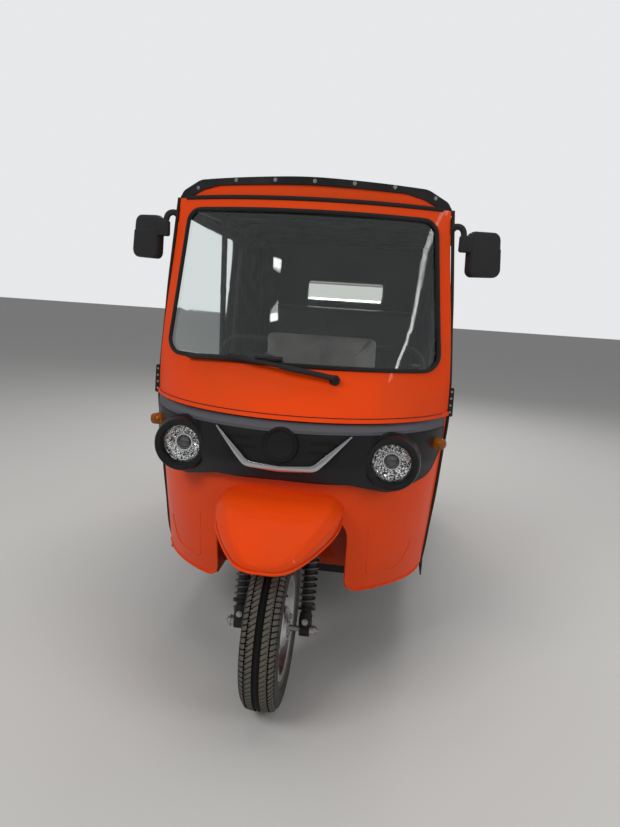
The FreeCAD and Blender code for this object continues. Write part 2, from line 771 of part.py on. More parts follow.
def make_rear_panel():
    waist = size("waist_height")
    back = tail_end - 52 + seat_gap
    plate = prism(mirrored([
        (size("fender_half"), size("tail_base")), (size("fender_half"), 640, 120), (size("tail_half"), waist, 60),
    ]), front_view, back, back + wall)
    hole = prism(lid_outline(0), front_view, back - 20, back + 60)
    lip = prism(lid_outline(14), front_view, back - 10, back).cut(hole)
    face = back + wall
    axis_y = face + 8
    axis_z = size("lid_top") + 10
    pin = 4
    panel_parts = [plate.cut(hole), lip]
    lid_parts = [
        prism(lid_outline(-size("lid_gap")), front_view, back, face),
        prism(lid_outline(-60), front_view, face - 0.5, face + 8),
    ]
    for x in (-220, 180):
        # Each hinge: a knuckle on the lid with its pin, and the panel's knuckle beside it
        lid_parts.append(box((x, face - 1, size("lid_top") - 50), (x + 20, face + 5, size("lid_top") - 8)))
        lid_parts.append(box((x, face + 1.5, size("lid_top") - 30), (x + 20, face + 5, axis_z)))
        lid_parts.append(cylinder(6.5, vec(x, axis_y, axis_z), vec(x + 20, axis_y, axis_z)))
        lid_parts.append(cylinder(pin, vec(x + 10, axis_y, axis_z), vec(x + 41, axis_y, axis_z)))
        knuckle = cylinder(6.5, vec(x + 20.5, axis_y, axis_z), vec(x + 40.5, axis_y, axis_z))
        seat = box((x + 20.5, face - 1, axis_z - 2), (x + 40.5, axis_y, axis_z + 12))
        bore = cylinder(pin + bearing, vec(x + 15, axis_y, axis_z), vec(x + 45, axis_y, axis_z))
        panel_parts.append(knuckle.fuse(seat).cut(bore))
    plate_holes = [cylinder(3, vec(side * 90, back - 5, 465), vec(side * 90, back + 20, 465)) for side in (-1, 1)]
    rear = fused(panel_parts)
    for plate_hole in plate_holes:
        rear = rear.cut(plate_hole)
    keep_shape("rear_panel", rear)
    keep_shape("engine_lid", fused(lid_parts))


def make_tail_details():
    back = tail_end - 52 + seat_gap + wall
    lamps = []
    for side in (-1, 1):
        x = side * 470
        lamps.append(prism([(x - 45, 640, 14), (x + 45, 640, 14), (x + 45, 800, 14), (x - 45, 800, 14)], front_view, back + seat_gap, back + 34))
    keep_shape("tail_lamps", Part.makeCompound(lamps))
    bar = tube([
        (-560, tail_end - 70, 360, 0), (-560, tail_end - 14, 360, 40),
        (560, tail_end - 14, 360, 40), (560, tail_end - 70, 360, 0),
    ], 14)
    flaps = []
    for side in (-1, 1):
        low = min(side * 495, side * 608)
        flap = box((low, tail_end - 60, 170), (low + 113, tail_end - 56 - seat_gap, 430))
        bar_room = cylinder(14 + seat_gap, vec(side * 560, tail_end - 90, 360), vec(side * 560, tail_end - 30, 360))
        flaps.append(flap.cut(bar_room))
    keep_shape("mud_flaps", Part.makeCompound(flaps))
    feet = [box((side * 300 - 18, tail_end - 40, 318), (side * 300 + 18, tail_end - 18, 356)) for side in (-1, 1)]
    keep_shape("rear_bumper", fused([bar] + feet))


def make_seats():
    floor = size("floor_height") + wall
    seat = size("seat_height")
    keep_shape("driver_seat_base", box((-225, 500, floor + seat_gap), (225, 890, seat - 100)))
    cushion = prism([(-260, 480, 50), (260, 480, 50), (260, 900, 40), (-260, 900, 40)], plan_view, seat - 100 + seat_gap, seat)
    keep_shape("driver_seat", cushion)
    back_face = 970
    back = prism([(-263, 770, 40), (263, 770, 40), (263, 1170, 60), (-263, 1170, 60)], front_view, 900, back_face)
    keep_shape("driver_backrest", back)
    bench = size("bench_height")
    keep_shape("bench_base", box((-462, 1480, floor + seat_gap), (462, 1484, bench - 110)).fuse(
        box((-462, 1484, bench - 114), (462, 1990, bench - 110))).removeSplitter())
    cushion = prism([(-455, 1470, 50), (455, 1470, 50), (455, 1980, 30), (-455, 1980, 30)], plan_view, bench - 110 + seat_gap, bench)
    keep_shape("passenger_seat", cushion)
    back = prism([(1985, bench - 100, 20), (2085, bench - 100, 30), (2130, 1290, 40), (2050, 1290, 40)], side_view, -470, 470)
    keep_shape("passenger_backrest", back)
    # Rail behind the driver that carries the backrest
    radius = 12
    y = back_face + seat_gap + radius
    floor_top = floor + seat_gap
    rail = tube([(-470, y, floor_top, 0), (-460, y, 1120, 80), (460, y, 1120, 80), (470, y, floor_top, 0)], radius)
    cross = tube([(-464, y, 830, 0), (464, y, 830, 0)], radius)
    keep_shape("grab_rail", fused([rail, cross]))


def make_dashboard():
    # Shelf under the windscreen with an open glove box each side
    nose = cab_solid(lower_levels, wall + seat_gap, 0, 300)
    shelf_top = 860
    shelf = box((-480, 60, shelf_top - wall), (480, 150, shelf_top))
    lamp_room = size("lamp_radius") + 3
    box_front = 154
    box_base = 712
    pieces = [shelf.common(nose)]
    for side in (-1, 1):
        low = min(side * 150, side * 440)
        outer = box((low, box_front - wall, box_base), (low + 290, 280, shelf_top))
        inner = box((low + wall, box_front, box_base + wall), (low + 290 - wall, 320, shelf_top - wall))
        pieces.append(outer.cut(inner).common(nose))
    dashboard = fused(pieces)
    for side in (-1, 1):
        x = side * size("lamp_spread")
        dashboard = dashboard.cut(cylinder(lamp_room, vec(x, 0, size("lamp_height")), vec(x, box_front - wall - 0.5, size("lamp_height"))))
    keep_shape("dashboard", dashboard)


def make_small_front():
    # Mirrors, wiper, indicators, pillar brackets and edge beading
    for side, label in ((-1, "mirror_right"), (1, "mirror_left")):
        head = prism([(540, 1417, 22), (664, 1423, 26), (650, 1572, 26), (534, 1568, 24)], front_view, 330, 370)
        head.rotate(vec(534, 350, 0), vec(0, 0, 1), 25)
        lobe = box((503, 336, 1497), (548, 362, 1552))
        arm = tube([(478, 366, 1578, 0), (508, 358, 1579, 12), (520, 350, 1540, 0)], 8)
        foot = box((473.4, 352, 1555), (480, 378, 1600))
        shape = fused([head, lobe, arm, foot])
        if side < 0:
            shape = shape.mirror(vec(0, 0, 0), vec(1, 0, 0))
        keep_shape(label, shape)
    pivot = cylinder(13, vec(139, 60, 1062), vec(139, 130, 1062)).cut(cab_solid(upper_levels, -seat_gap))
    arm = tube([(139, 66, 1062, 0), (-215, 118, 1108, 0)], 4)
    blade_path = Part.Wire([Part.Arc(vec(-354, 185, 1098), vec(-200, 118, 1103), vec(-42, 90, 1108)).toShape()])
    ring = Part.Wire([Part.makeCircle(5, vec(-354, 185, 1098), blade_path.Edges[0].tangentAt(blade_path.Edges[0].FirstParameter))])
    blade = blade_path.makePipeShell([ring], True, False)
    keep_shape("wiper", fused([pivot, arm, blade]))
    lamps = []
    plates = []
    beads = []
    for side in (-1, 1):
        lamp = cylinder(23, vec(side * 478, 306, 858), vec(side * 521, 280, 858))
        lamps.append(lamp.cut(cab_solid(mask_levels, -seat_gap)))
        plate = box((522.6, 360, 925), (529, 392, 1050))
        bead = tube([
            (494, 404, 400, 0), (515, 381, 650, 900), (529, 350, 940, 700), (501, 351, 1330, 3000), (482, 361, 1545, 0),
        ], 5)
        for levels in (upper_levels, lower_levels, mask_levels):
            bead = bead.cut(cab_solid(levels, -seat_gap, 0, 100))
        if side < 0:
            plate = plate.mirror(vec(0, 0, 0), vec(1, 0, 0))
            bead = bead.mirror(vec(0, 0, 0), vec(1, 0, 0))
        plates.append(plate)
        beads.append(bead)
    keep_shape("front_indicators", Part.makeCompound(lamps))
    keep_shape("pillar_brackets", Part.makeCompound(plates))
    keep_shape("side_beading", Part.makeCompound(beads))


def make_drive():
    rail_base = size("floor_height") - size("rail_size")
    # Engine and gearbox block between the rear wheels, arms that carry the hubs, and their shocks
    engine = fused([
        box((-150, 1830, 240), (150, 2180, 520)),
        cylinder(95, vec(-170, wheelbase, tyre_radius + 30), vec(170, wheelbase, tyre_radius + 30)),
    ])
    shaft_bore = size("shaft_radius") + bearing
    for side in (-1, 1):
        hole = cylinder(shaft_bore, vec(side * 138, wheelbase, tyre_radius), vec(side * 180, wheelbase, tyre_radius))
        engine = engine.cut(hole)
    keep_shape("engine", engine)
    hub_face = size("rear_track") / 2 - size("rear_hub_width") / 2
    for side, label in ((-1, "right"), (1, "left")):
        x = side * (hub_face - 40)
        carrier = cylinder(62, vec(side * (hub_face - 5), wheelbase, tyre_radius), vec(side * (hub_face - 58), wheelbase, tyre_radius))
        arm = prism([(1596, 270), (1640, 262, 20), (wheelbase, 205, 40), (wheelbase + 40, 250, 20), (wheelbase - 20, 318, 30), (1640, 334, 20), (1596, 326)],
                    side_view, min(x - 20, x + 20), max(x - 20, x + 20))
        pivot = cylinder(26, vec(side * 321, 1610, 298), vec(side * 480, 1610, 298))
        perch = box((min(side * 420, side * 500), 1885, 314), (max(side * 420, side * 500), 1955, 331))
        bore = cylinder(shaft_bore, vec(side * 200, wheelbase, tyre_radius), vec(side * 700, wheelbase, tyre_radius))
        pin_bore = cylinder(12 + bearing, vec(side * 300, 1610, 298), vec(side * 600, 1610, 298))
        arm_shape = fused([carrier, arm, pivot, perch]).cut(bore).cut(pin_bore)
        keep_shape("trailing_arm_" + label, arm_shape)
        shaft = cylinder(size("shaft_radius"), vec(side * 140, wheelbase, tyre_radius), vec(side * (hub_face + 60), wheelbase, tyre_radius))
        cup = cylinder(38, vec(side * 176, wheelbase, tyre_radius), vec(side * 250, wheelbase, tyre_radius))
        keep_shape("drive_shaft_" + label, fused([shaft, cup]))
    shocks = []
    for side in (-1, 1):
        x = side * 441
        foot = vec(x, 1920, 331 + seat_gap)
        top = vec(x, 1920, 600 - seat_gap)
        body = fused([cylinder(14, foot, top), cylinder(27, foot + (top - foot) * 0.15, foot + (top - foot) * 0.8)])
        shocks.append(body)
    keep_shape("rear_shocks", Part.makeCompound(shocks))
    keep_shape("exhaust", fused([
        cylinder(55, vec(-60, tail_end - 95, 243), vec(250, tail_end - 95, 243)),
        cylinder(14, vec(180, tail_end - 60, 222), vec(180, tail_end - 4, 215)),
        box((60, tail_end - 78, 285), (90, tail_end - 74, rail_base)),
        box((60, tail_end - 78, rail_base - 4), (90, tail_end - 50, rail_base)),
    ]))


make_front_cowl()
make_windscreen()
make_front_panel()
make_wheel_house()
make_front_mask()
make_mask_trim()
make_headlamps()
make_roof_cap()
make_hood_strip()
make_hood()
make_hood_frame()
make_chassis()
make_floor()
make_mudguard()
make_side_panels()
make_rear_panel()
make_tail_details()
make_seats()
make_dashboard()
make_small_front()
make_drive()
make_fork()
half_track = size("rear_track") / 2
make_wheel("front_wheel", vec(0, 0, tyre_radius), size("front_hub_width"), size("axle_radius") + bearing)
make_wheel("rear_wheel_left", vec(half_track, wheelbase, tyre_radius), size("rear_hub_width"), size("shaft_radius"))
make_wheel("rear_wheel_right", vec(-half_track, wheelbase, tyre_radius), size("rear_hub_width"), size("shaft_radius"))

doc.recompute()
for item in doc.Objects:
    failed = [state for state in item.State if state in ("Invalid", "Error")]
    if failed:
        raise RuntimeError("%s is %s" % (item.Label, failed))
for label, item in subparts.items():
    if item.Shape.isNull() or not item.Shape.isValid():
        raise RuntimeError("%s has no valid shape" % label)

os.makedirs("parts", exist_ok=True)
for label, item in subparts.items():
    item.Shape.exportStep(os.path.join("parts", label + ".step"))
    bounds = item.Shape.BoundBox
    print("%-22s solids %d  x %7.1f %7.1f  y %8.1f %8.1f  z %7.1f %7.1f" % (
        label, len(item.Shape.Solids), bounds.XMin, bounds.XMax, bounds.YMin, bounds.YMax, bounds.ZMin, bounds.ZMax))
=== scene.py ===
import json
import math

import bmesh
import bpy
from mathutils import Matrix, Vector, noise
from mathutils.bvhtree import BVHTree


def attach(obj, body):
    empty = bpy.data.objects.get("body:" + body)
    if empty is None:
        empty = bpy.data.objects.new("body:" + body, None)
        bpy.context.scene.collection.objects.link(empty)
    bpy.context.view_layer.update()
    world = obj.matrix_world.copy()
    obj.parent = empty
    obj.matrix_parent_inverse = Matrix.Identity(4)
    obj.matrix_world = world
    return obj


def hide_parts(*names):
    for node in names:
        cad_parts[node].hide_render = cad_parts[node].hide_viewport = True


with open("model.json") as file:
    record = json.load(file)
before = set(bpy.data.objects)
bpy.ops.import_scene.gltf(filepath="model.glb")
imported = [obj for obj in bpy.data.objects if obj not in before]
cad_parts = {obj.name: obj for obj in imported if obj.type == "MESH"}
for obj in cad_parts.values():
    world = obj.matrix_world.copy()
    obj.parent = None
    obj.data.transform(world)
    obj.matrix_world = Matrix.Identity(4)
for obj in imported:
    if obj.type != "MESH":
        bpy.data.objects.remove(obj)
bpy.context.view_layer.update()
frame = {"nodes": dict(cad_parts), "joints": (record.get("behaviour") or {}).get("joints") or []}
cad = frame["nodes"]
joints = {joint["name"]: joint for joint in frame["joints"]}
axleY = joints["front_wheel_spin"]["pos_m"][1]      # the front axle; pieces are measured from it
axleZ = 0.258
wheelbase = 2.0
floorTop = 0.3542
rearFace = 2.2943
print("frame loaded")


# Materials
def shaderOf(material):
    return material.node_tree.nodes["Principled BSDF"]


def setInputs(node, values):
    for name, value in values.items():
        node.inputs[name].default_value = value


def newMaterial(name, colour, roughness, metallic=0.0, coat=0.0, ior=1.5):
    material = bpy.data.materials.new(name)
    material.use_nodes = True
    setInputs(shaderOf(material), {"Base Color": (*colour, 1), "Roughness": roughness, "Metallic": metallic,
                                   "IOR": ior, "Coat Weight": coat, "Coat Roughness": 0.06})
    material.diffuse_color = (*colour, 1)
    return material


def addNode(material, kind):
    return material.node_tree.nodes.new(kind)


def join(material, fromNode, fromName, toNode, toName):
    material.node_tree.links.new(fromNode.outputs[fromName], toNode.inputs[toName])


def noiseAt(material, scale, detail=3.0, stretch=None):
    place = addNode(material, "ShaderNodeTexCoord")
    pattern = addNode(material, "ShaderNodeTexNoise")
    setInputs(pattern, {"Scale": scale, "Detail": detail})
    if stretch:
        mapping = addNode(material, "ShaderNodeMapping")
        setInputs(mapping, {"Scale": stretch})
        join(material, place, "Object", mapping, "Vector")
        join(material, mapping, "Vector", pattern, "Vector")
    else:
        join(material, place, "Object", pattern, "Vector")
    return pattern


def varyColour(material, pattern, low, high, start=0.35, end=0.65):
    ramp = addNode(material, "ShaderNodeValToRGB")
    for stop, position, colour in zip(ramp.color_ramp.elements, (start, end), (low, high)):
        stop.position = position
        stop.color = (*colour, 1)
    join(material, pattern, "Fac", ramp, "Fac")
    join(material, ramp, "Color", shaderOf(material), "Base Color")


def varyRoughness(material, pattern, low, high):
    spread = addNode(material, "ShaderNodeMapRange")
    setInputs(spread, {"From Min": 0.3, "From Max": 0.7, "To Min": low, "To Max": high})
    join(material, pattern, "Fac", spread, "Value")
    join(material, spread, "Result", shaderOf(material), "Roughness")


def bump(material, pattern, output, strength, distance, under=None):
    relief = addNode(material, "ShaderNodeBump")
    setInputs(relief, {"Strength": strength, "Distance": distance})
    join(material, pattern, output, relief, "Height")
    if under:
        join(material, under, "Normal", relief, "Normal")
    join(material, relief, "Normal", shaderOf(material), "Normal")
    return relief


def glossPaint(name, colour, dusty):
    # Baked enamel: slight orange peel, a film of dust that dulls it in patches
    paint = newMaterial(name, colour, 0.34, coat=0.25)
    setInputs(shaderOf(paint), {"Coat Roughness": 0.04, "Specular IOR Level": 0.05})
    varyRoughness(paint, noiseAt(paint, 2.3, 5), 0.28, 0.46)
    varyColour(paint, noiseAt(paint, 3.1, 6), dusty, colour, 0.22, 0.52)
    bump(paint, noiseAt(paint, 230, 2), "Fac", 0.05, 0.0006)
    return paint


def grainedPlastic(name, colour, roughness, grain=900, strength=0.18):
    plastic = newMaterial(name, colour, roughness)
    setInputs(shaderOf(plastic), {"Specular IOR Level": 0.3})
    varyRoughness(plastic, noiseAt(plastic, 6, 5), roughness - 0.06, roughness + 0.1)
    bump(plastic, noiseAt(plastic, grain, 3), "Fac", strength, 0.0006)
    return plastic


def bareMetal(name, colour, roughness, scale=140, strength=0.12):
    metal = newMaterial(name, colour, roughness, metallic=1.0)
    varyRoughness(metal, noiseAt(metal, 30, 5), roughness - 0.07, roughness + 0.13)
    bump(metal, noiseAt(metal, scale, 4), "Fac", strength, 0.0005)
    return metal


def coatedCloth(name, colour, worn, weave, roughness, sheen=0.08):
    # Coated fabric: a fine weave that shows through the coating, soft creases, a little sheen
    cloth = newMaterial(name, colour, roughness)
    setInputs(shaderOf(cloth), {"Sheen Weight": sheen, "Specular IOR Level": 0.25})
    varyColour(cloth, noiseAt(cloth, 7, 6), colour, worn, 0.42, 0.78)
    varyRoughness(cloth, noiseAt(cloth, 11, 4), roughness - 0.06, roughness + 0.12)
    place = addNode(cloth, "ShaderNodeTexCoord")
    threads = addNode(cloth, "ShaderNodeTexVoronoi")
    setInputs(threads, {"Scale": weave})
    join(cloth, place, "Object", threads, "Vector")
    fine = bump(cloth, threads, "Distance", 0.35, 0.0007)
    bump(cloth, noiseAt(cloth, 24, 4), "Fac", 0.25, 0.004, fine)
    return cloth


def clearMaterial(name, colour, roughness, ior=1.45):
    clear = newMaterial(name, colour, roughness, ior=ior)
    setInputs(shaderOf(clear), {"Transmission Weight": 1.0})
    varyRoughness(clear, noiseAt(clear, 9, 4), roughness, roughness + 0.05)
    return clear


def tyreRubber():
    rubber = newMaterial("tyreRubber", (0.028, 0.027, 0.026), 0.78)
    varyColour(rubber, noiseAt(rubber, 18, 6), (0.022, 0.022, 0.022), (0.062, 0.056, 0.048), 0.35, 0.75)
    varyRoughness(rubber, noiseAt(rubber, 40, 4), 0.68, 0.88)
    bump(rubber, noiseAt(rubber, 700, 3), "Fac", 0.3, 0.0006)
    return rubber


orangePaint = glossPaint("orangePaint", (0.72, 0.055, 0.004), (0.58, 0.058, 0.009))
# Darker copy of the orange paint for the wheel house: painted shade inside the arch
orangeInside = glossPaint("orangeInside", (0.6, 0.046, 0.004), (0.44, 0.046, 0.01))
blackPlastic = grainedPlastic("blackPlastic", (0.008, 0.008, 0.009), 0.33)
# Lighter grey for the mask's upper ledge: painted light, the top face catching light from above
greyPlastic = grainedPlastic("greyPlastic", (0.08, 0.078, 0.088), 0.45, 700, 0.3)
softBlack = grainedPlastic("softBlack", (0.02, 0.02, 0.021), 0.58, 700, 0.3)
blackPaint = glossPaint("blackPaint", (0.016, 0.016, 0.017), (0.04, 0.036, 0.032))
blackRubber = grainedPlastic("blackRubber", (0.016, 0.016, 0.016), 0.62, 500, 0.25)
tyreBlack = tyreRubber()
# Near black for the tread grooves: painted shade in the recesses
grooveBlack = newMaterial("grooveBlack", (0.004, 0.004, 0.004), 0.9)
treadDusty = grainedPlastic("treadDusty", (0.105, 0.094, 0.08), 0.8, 260, 0.35)
silverPlastic = bareMetal("silverPlastic", (0.55, 0.55, 0.56), 0.3)
wheelAlloy = bareMetal("wheelAlloy", (0.6, 0.6, 0.61), 0.34)
plainSteel = bareMetal("plainSteel", (0.5, 0.49, 0.47), 0.36)
chrome = bareMetal("chrome", (0.86, 0.86, 0.87), 0.09, strength=0.03)
# Chrome of the headlamp bowls whose base colour runs from near black to white in small cells: painted reflections, the
# glints of the facets
facetMetal = bareMetal("facetMetal", (0.86, 0.86, 0.87), 0.1, strength=0.03)
varyColour(facetMetal, noiseAt(facetMetal, 190, 0.5, (1, 0.4, 1)), (0.05, 0.05, 0.045), (0.95, 0.95, 0.94), 0.37, 0.5)
castAlloy = bareMetal("castAlloy", (0.42, 0.42, 0.43), 0.52, scale=320, strength=0.35)
exhaustSteel = bareMetal("exhaustSteel", (0.1, 0.09, 0.085), 0.55, scale=200, strength=0.3)
hoodVinyl = coatedCloth("hoodVinyl", (0.012, 0.012, 0.013), (0.026, 0.025, 0.024), 900, 0.56, 0.0)
seatVinyl = coatedCloth("seatVinyl", (0.02, 0.02, 0.022), (0.045, 0.044, 0.043), 420, 0.42)
wrappedVinyl = coatedCloth("wrappedVinyl", (0.15, 0.145, 0.135), (0.24, 0.235, 0.22), 420, 0.36)
floorRubber = grainedPlastic("floorRubber", (0.03, 0.03, 0.031), 0.66, 300, 0.4)
screenGlass = clearMaterial("screenGlass", (0.83, 0.88, 0.87), 0.0)
lampGlass = clearMaterial("lampGlass", (0.97, 0.98, 0.99), 0.0, 1.04)
setInputs(shaderOf(lampGlass), {"Coat Weight": 1.0})
lampDark = newMaterial("lampDark", (0.055, 0.055, 0.06), 0.12, metallic=0.4, coat=1.0)
softWindow = clearMaterial("softWindow", (0.86, 0.85, 0.8), 0.12)
amberLens = clearMaterial("amberLens", (0.9, 0.27, 0.01), 0.04)
setInputs(shaderOf(amberLens), {"Transmission Weight": 0.8})
redLens = clearMaterial("redLens", (0.62, 0.01, 0.008), 0.08)
mirrorGlass = newMaterial("mirrorGlass", (0.88, 0.89, 0.9), 0.03, metallic=1.0)
springSteel = bareMetal("springSteel", (0.16, 0.155, 0.15), 0.42)
plateWhite = grainedPlastic("plateWhite", (0.72, 0.71, 0.67), 0.45, 300, 0.08)
dialWhite = newMaterial("dialWhite", (0.6, 0.6, 0.58), 0.5)
print("materials made")

# What each remaining solid of the vehicle is painted with
finishes = {
    orangePaint: ["front_cowl", "front_panel", "roof_cap", "side_panel_left", "side_panel_right", "rear_panel",
                  "engine_lid", "driver_seat_base", "bench_base"],
    # Wheel house in the darker orange copy: painted shade of the arch's inside
    orangeInside: ["wheel_house"],
    blackPaint: ["hood_frame", "grab_rail", "chassis_frame", "rear_bumper", "trailing_arm_left",
                 "trailing_arm_right", "rear_shocks", "fork", "handlebar", "pillar_brackets"],
    softBlack: ["dashboard"],
    blackRubber: ["mud_flaps"],
    floorRubber: ["floor_pan"],
    hoodVinyl: ["hood_strip"],
    screenGlass: ["windscreen_glass"],
    softWindow: ["rear_window"],
    plainSteel: ["drive_shaft_left", "drive_shaft_right", "front_axle"],
    castAlloy: ["engine"], exhaustSteel: ["exhaust"],
    wheelAlloy: ["front_rim", "rear_rim_left", "rear_rim_right"],
}
for finish, names in finishes.items():
    for name in names:
        painted = cad[name].data.materials
        painted.clear()
        painted.append(finish)


# Shared tools
mirrorX = Matrix.Scale(-1, 4, (1, 0, 0))


def inScene(name, data):
    made = bpy.data.objects.new(name, data)
    bpy.context.scene.collection.objects.link(made)
    return made


def finished(name, shape, materials, body="body", instead=(), sharp=35):
    # Turns a bmesh into a finished piece that rides on its body
    bmesh.ops.remove_doubles(shape, verts=shape.verts, dist=0.00001)
    mesh = bpy.data.meshes.new(name)
    shape.to_mesh(mesh)
    shape.free()
    for material in materials if isinstance(materials, list) else [materials]:
        mesh.materials.append(material)
    piece = inScene(name, mesh)
    for face in mesh.polygons:
        face.use_smooth = True
    mesh.set_sharp_from_angle(angle=math.radians(sharp))
    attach(piece, body)
    if instead:
        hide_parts(*instead)
    return piece


def addModifier(piece, kind, **values):
    modifier = piece.modifiers.new(kind.lower(), kind)
    for name, value in values.items():
        setattr(modifier, name, value)


def outwards(shape):
    bmesh.ops.remove_doubles(shape, verts=shape.verts, dist=0.00001)
    bmesh.ops.recalc_face_normals(shape, faces=shape.faces)


def moveIn(shape, matrix):
    bmesh.ops.transform(shape, matrix=matrix, verts=shape.verts)


def allOf(shape):
    return shape.verts[:] + shape.edges[:] + shape.faces[:]


def only(kind, items):
    return [item for item in items if isinstance(item, kind)]


def openEdges(edges):
    return [edge for edge in edges if len(edge.link_faces) == 1]


def dropFaces(shape, test):
    # Deletes the faces whose middle passes the test
    gone = [face for face in shape.faces if test(face.calc_center_median())]
    bmesh.ops.delete(shape, geom=gone, context="FACES")


def softened(shape, edges, width, segments, clamp=True):
    bmesh.ops.bevel(shape, geom=edges, offset=width, offset_type="OFFSET", affect="EDGES", segments=segments,
                    profile=0.5, material=-1, clamp_overlap=clamp)


def joined(shape, piece, material=None):
    # Adds a finished piece to a shape, or starts one with it
    if material is not None:
        for face in piece.faces:
            face.material_index = material
    if shape is None:
        return piece
    mesh = bpy.data.meshes.new("joined")
    piece.to_mesh(mesh)
    piece.free()
    shape.from_mesh(mesh)
    bpy.data.meshes.remove(mesh)
    return shape


def turnTo(start, axis):
    return Vector(start).rotation_difference(Vector(axis)).to_matrix().to_4x4()


def turnedShape(profile, steps=48, shape=None, centre=(0, 0, 0), axis=(0, 1, 0), material=0):
    # Full turn of a (radius, along) profile about an axis; points on the axis close it
    piece = bmesh.new()
    verts = [piece.verts.new((radius, along, 0)) for radius, along in profile]
    edges = [piece.edges.new(pair) for pair in zip(verts, verts[1:])]
    bmesh.ops.spin(piece, geom=verts + edges, cent=(0, 0, 0), axis=(0, 1, 0), angle=2 * math.pi, steps=steps,
                   use_merge=True)
    outwards(piece)
    moveIn(piece, Matrix.Translation(Vector(centre)) @ turnTo((0, 1, 0), axis))
    return joined(shape, piece, material)


def coilShape(shape, radius, wire, turns, length, base, material=0):
    # Open coil spring standing on a point
    coil = bmesh.new()
    turn = Matrix.Translation((radius, 0, 0)) @ Matrix.Rotation(math.pi / 2, 4, "X")
    ring = bmesh.ops.create_circle(coil, segments=8, radius=wire, matrix=turn)["verts"]
    edges = list({edge for vert in ring for edge in vert.link_edges})
    steps = 20 * turns
    bmesh.ops.spin(coil, geom=ring + edges, cent=(0, 0, 0), axis=(0, 0, 1), dvec=(0, 0, length / steps),
                   angle=2 * math.pi * turns, steps=steps)
    bmesh.ops.holes_fill(coil, edges=openEdges(coil.edges), sides=8)
    outwards(coil)
    moveIn(coil, Matrix.Translation(base))
    return joined(shape, coil, material)


def roundedLine(points, step=6):
    # Closed outline from (a, b) or (a, b, corner radius) points
    line = []
    for index, point in enumerate(points):
        here = Vector(point[:2])
        radius = point[2] if len(point) > 2 else 0
        if not radius:
            line.append(here)
            continue
        back = (Vector(points[index - 1][:2]) - here).normalized()
        ahead = (Vector(points[(index + 1) % len(points)][:2]) - here).normalized()
        half = back.angle(ahead) / 2
        run = radius / math.tan(half)
        centre = here + (back + ahead).normalized() * (radius / math.sin(half))
        first = (here + back * run) - centre
        sweep = math.pi - 2 * half
        turn = 1 if back.y * ahead.x - back.x * ahead.y > 0 else -1
        for k in range(step + 1):
            angle = turn * sweep * k / step
            c, s = math.cos(angle), math.sin(angle)
            line.append(centre + Vector((first.x * c - first.y * s, first.x * s + first.y * c)))
    return line


def mirroredLine(points):
    return list(points) + [(-p[0],) + tuple(p[1:]) for p in reversed(points) if p[0] > 1e-6]


def slabShape(line, low, high, bevel):
    # Plate from an outline in X and Z, from low to high in Y, with softened edges
    piece = bmesh.new()
    face = piece.faces.new([piece.verts.new((p.x, low, p.y)) for p in line])
    grown = bmesh.ops.extrude_face_region(piece, geom=[face])["geom"]
    bmesh.ops.translate(piece, vec=(0, high - low, 0), verts=only(bmesh.types.BMVert, grown))
    ends = [face for face in piece.faces if len(face.verts) == len(line)]
    softened(piece, list({edge for face in ends for edge in face.edges}), bevel, 2)
    outwards(piece)
    return piece


def blockShape(low, high, bevel, segments, shape, material=0):
    # Box with softened edges
    piece = bmesh.new()
    middle = [(a + b) / 2 for a, b in zip(low, high)]
    spans = [b - a for a, b in zip(low, high)]
    bmesh.ops.create_cube(piece, size=1, matrix=Matrix.Translation(middle) @ Matrix.Diagonal((*spans, 1)))
    if bevel:
        softened(piece, piece.edges[:], bevel, segments)
    joined(shape, piece, material)


def discShape(radius, thickness, centre, axis, bevel, shape, material=0, steps=24):
    # Washer-like disc with a soft rim, from centre along the axis
    profile = [(0, 0), (radius, 0), (radius, thickness - bevel), (radius - bevel, thickness), (0, thickness)]
    turnedShape(profile, steps, shape, centre, axis, material)


def domeHead(radius, height, centre, axis, shape, material=0):
    # Low dome, sunk a little into what it sits on
    profile = [(radius, -0.001), (radius, height * 0.25), (radius * 0.85, height * 0.7),
               (radius * 0.45, height * 0.96), (0, height)]
    turnedShape(profile, 14, shape, centre, axis, material)


def hexHead(size, height, centre, axis, shape, material=0):
    # Bolt head on a washer
    place = Matrix.Translation(Vector(centre) + Vector(axis).normalized() * height * 0.6) @ turnTo((0, 0, 1), axis)
    head = bmesh.new()
    bmesh.ops.create_cone(head, cap_ends=True, segments=6, radius1=size, radius2=size * 0.94, depth=height,
                          matrix=place)
    joined(shape, head, material)
    discShape(size * 1.35, height * 0.3, centre, axis, 0.0004, shape, material, 18)


def swept(shape, points, radius, material=0, closed=False, smooth=True, ring=6, resolution=6):
    # Adds a round bar along a line through the points, or starts a shape with it
    line = bpy.data.curves.new("sweep", "CURVE")
    line.dimensions = "3D"
    line.resolution_u = resolution
    line.use_fill_caps = True
    line.bevel_depth = radius
    line.bevel_resolution = ring
    spline = line.splines.new("BEZIER" if smooth else "POLY")
    knots = spline.bezier_points if smooth else spline.points
    knots.add(len(points) - 1)
    for knot, point in zip(knots, points):
        if smooth:
            knot.co = point
            knot.handle_left_type = knot.handle_right_type = "AUTO"
        else:
            knot.co = (*point, 1)
    spline.use_cyclic_u = closed
    holder = inScene("sweep", line)
    mesh = bpy.data.meshes.new_from_object(holder)
    bpy.data.objects.remove(holder)
    for face in mesh.polygons:
        face.material_index = material
    shape = shape or bmesh.new()
    shape.from_mesh(mesh)
    bpy.data.meshes.remove(mesh)
    return shape


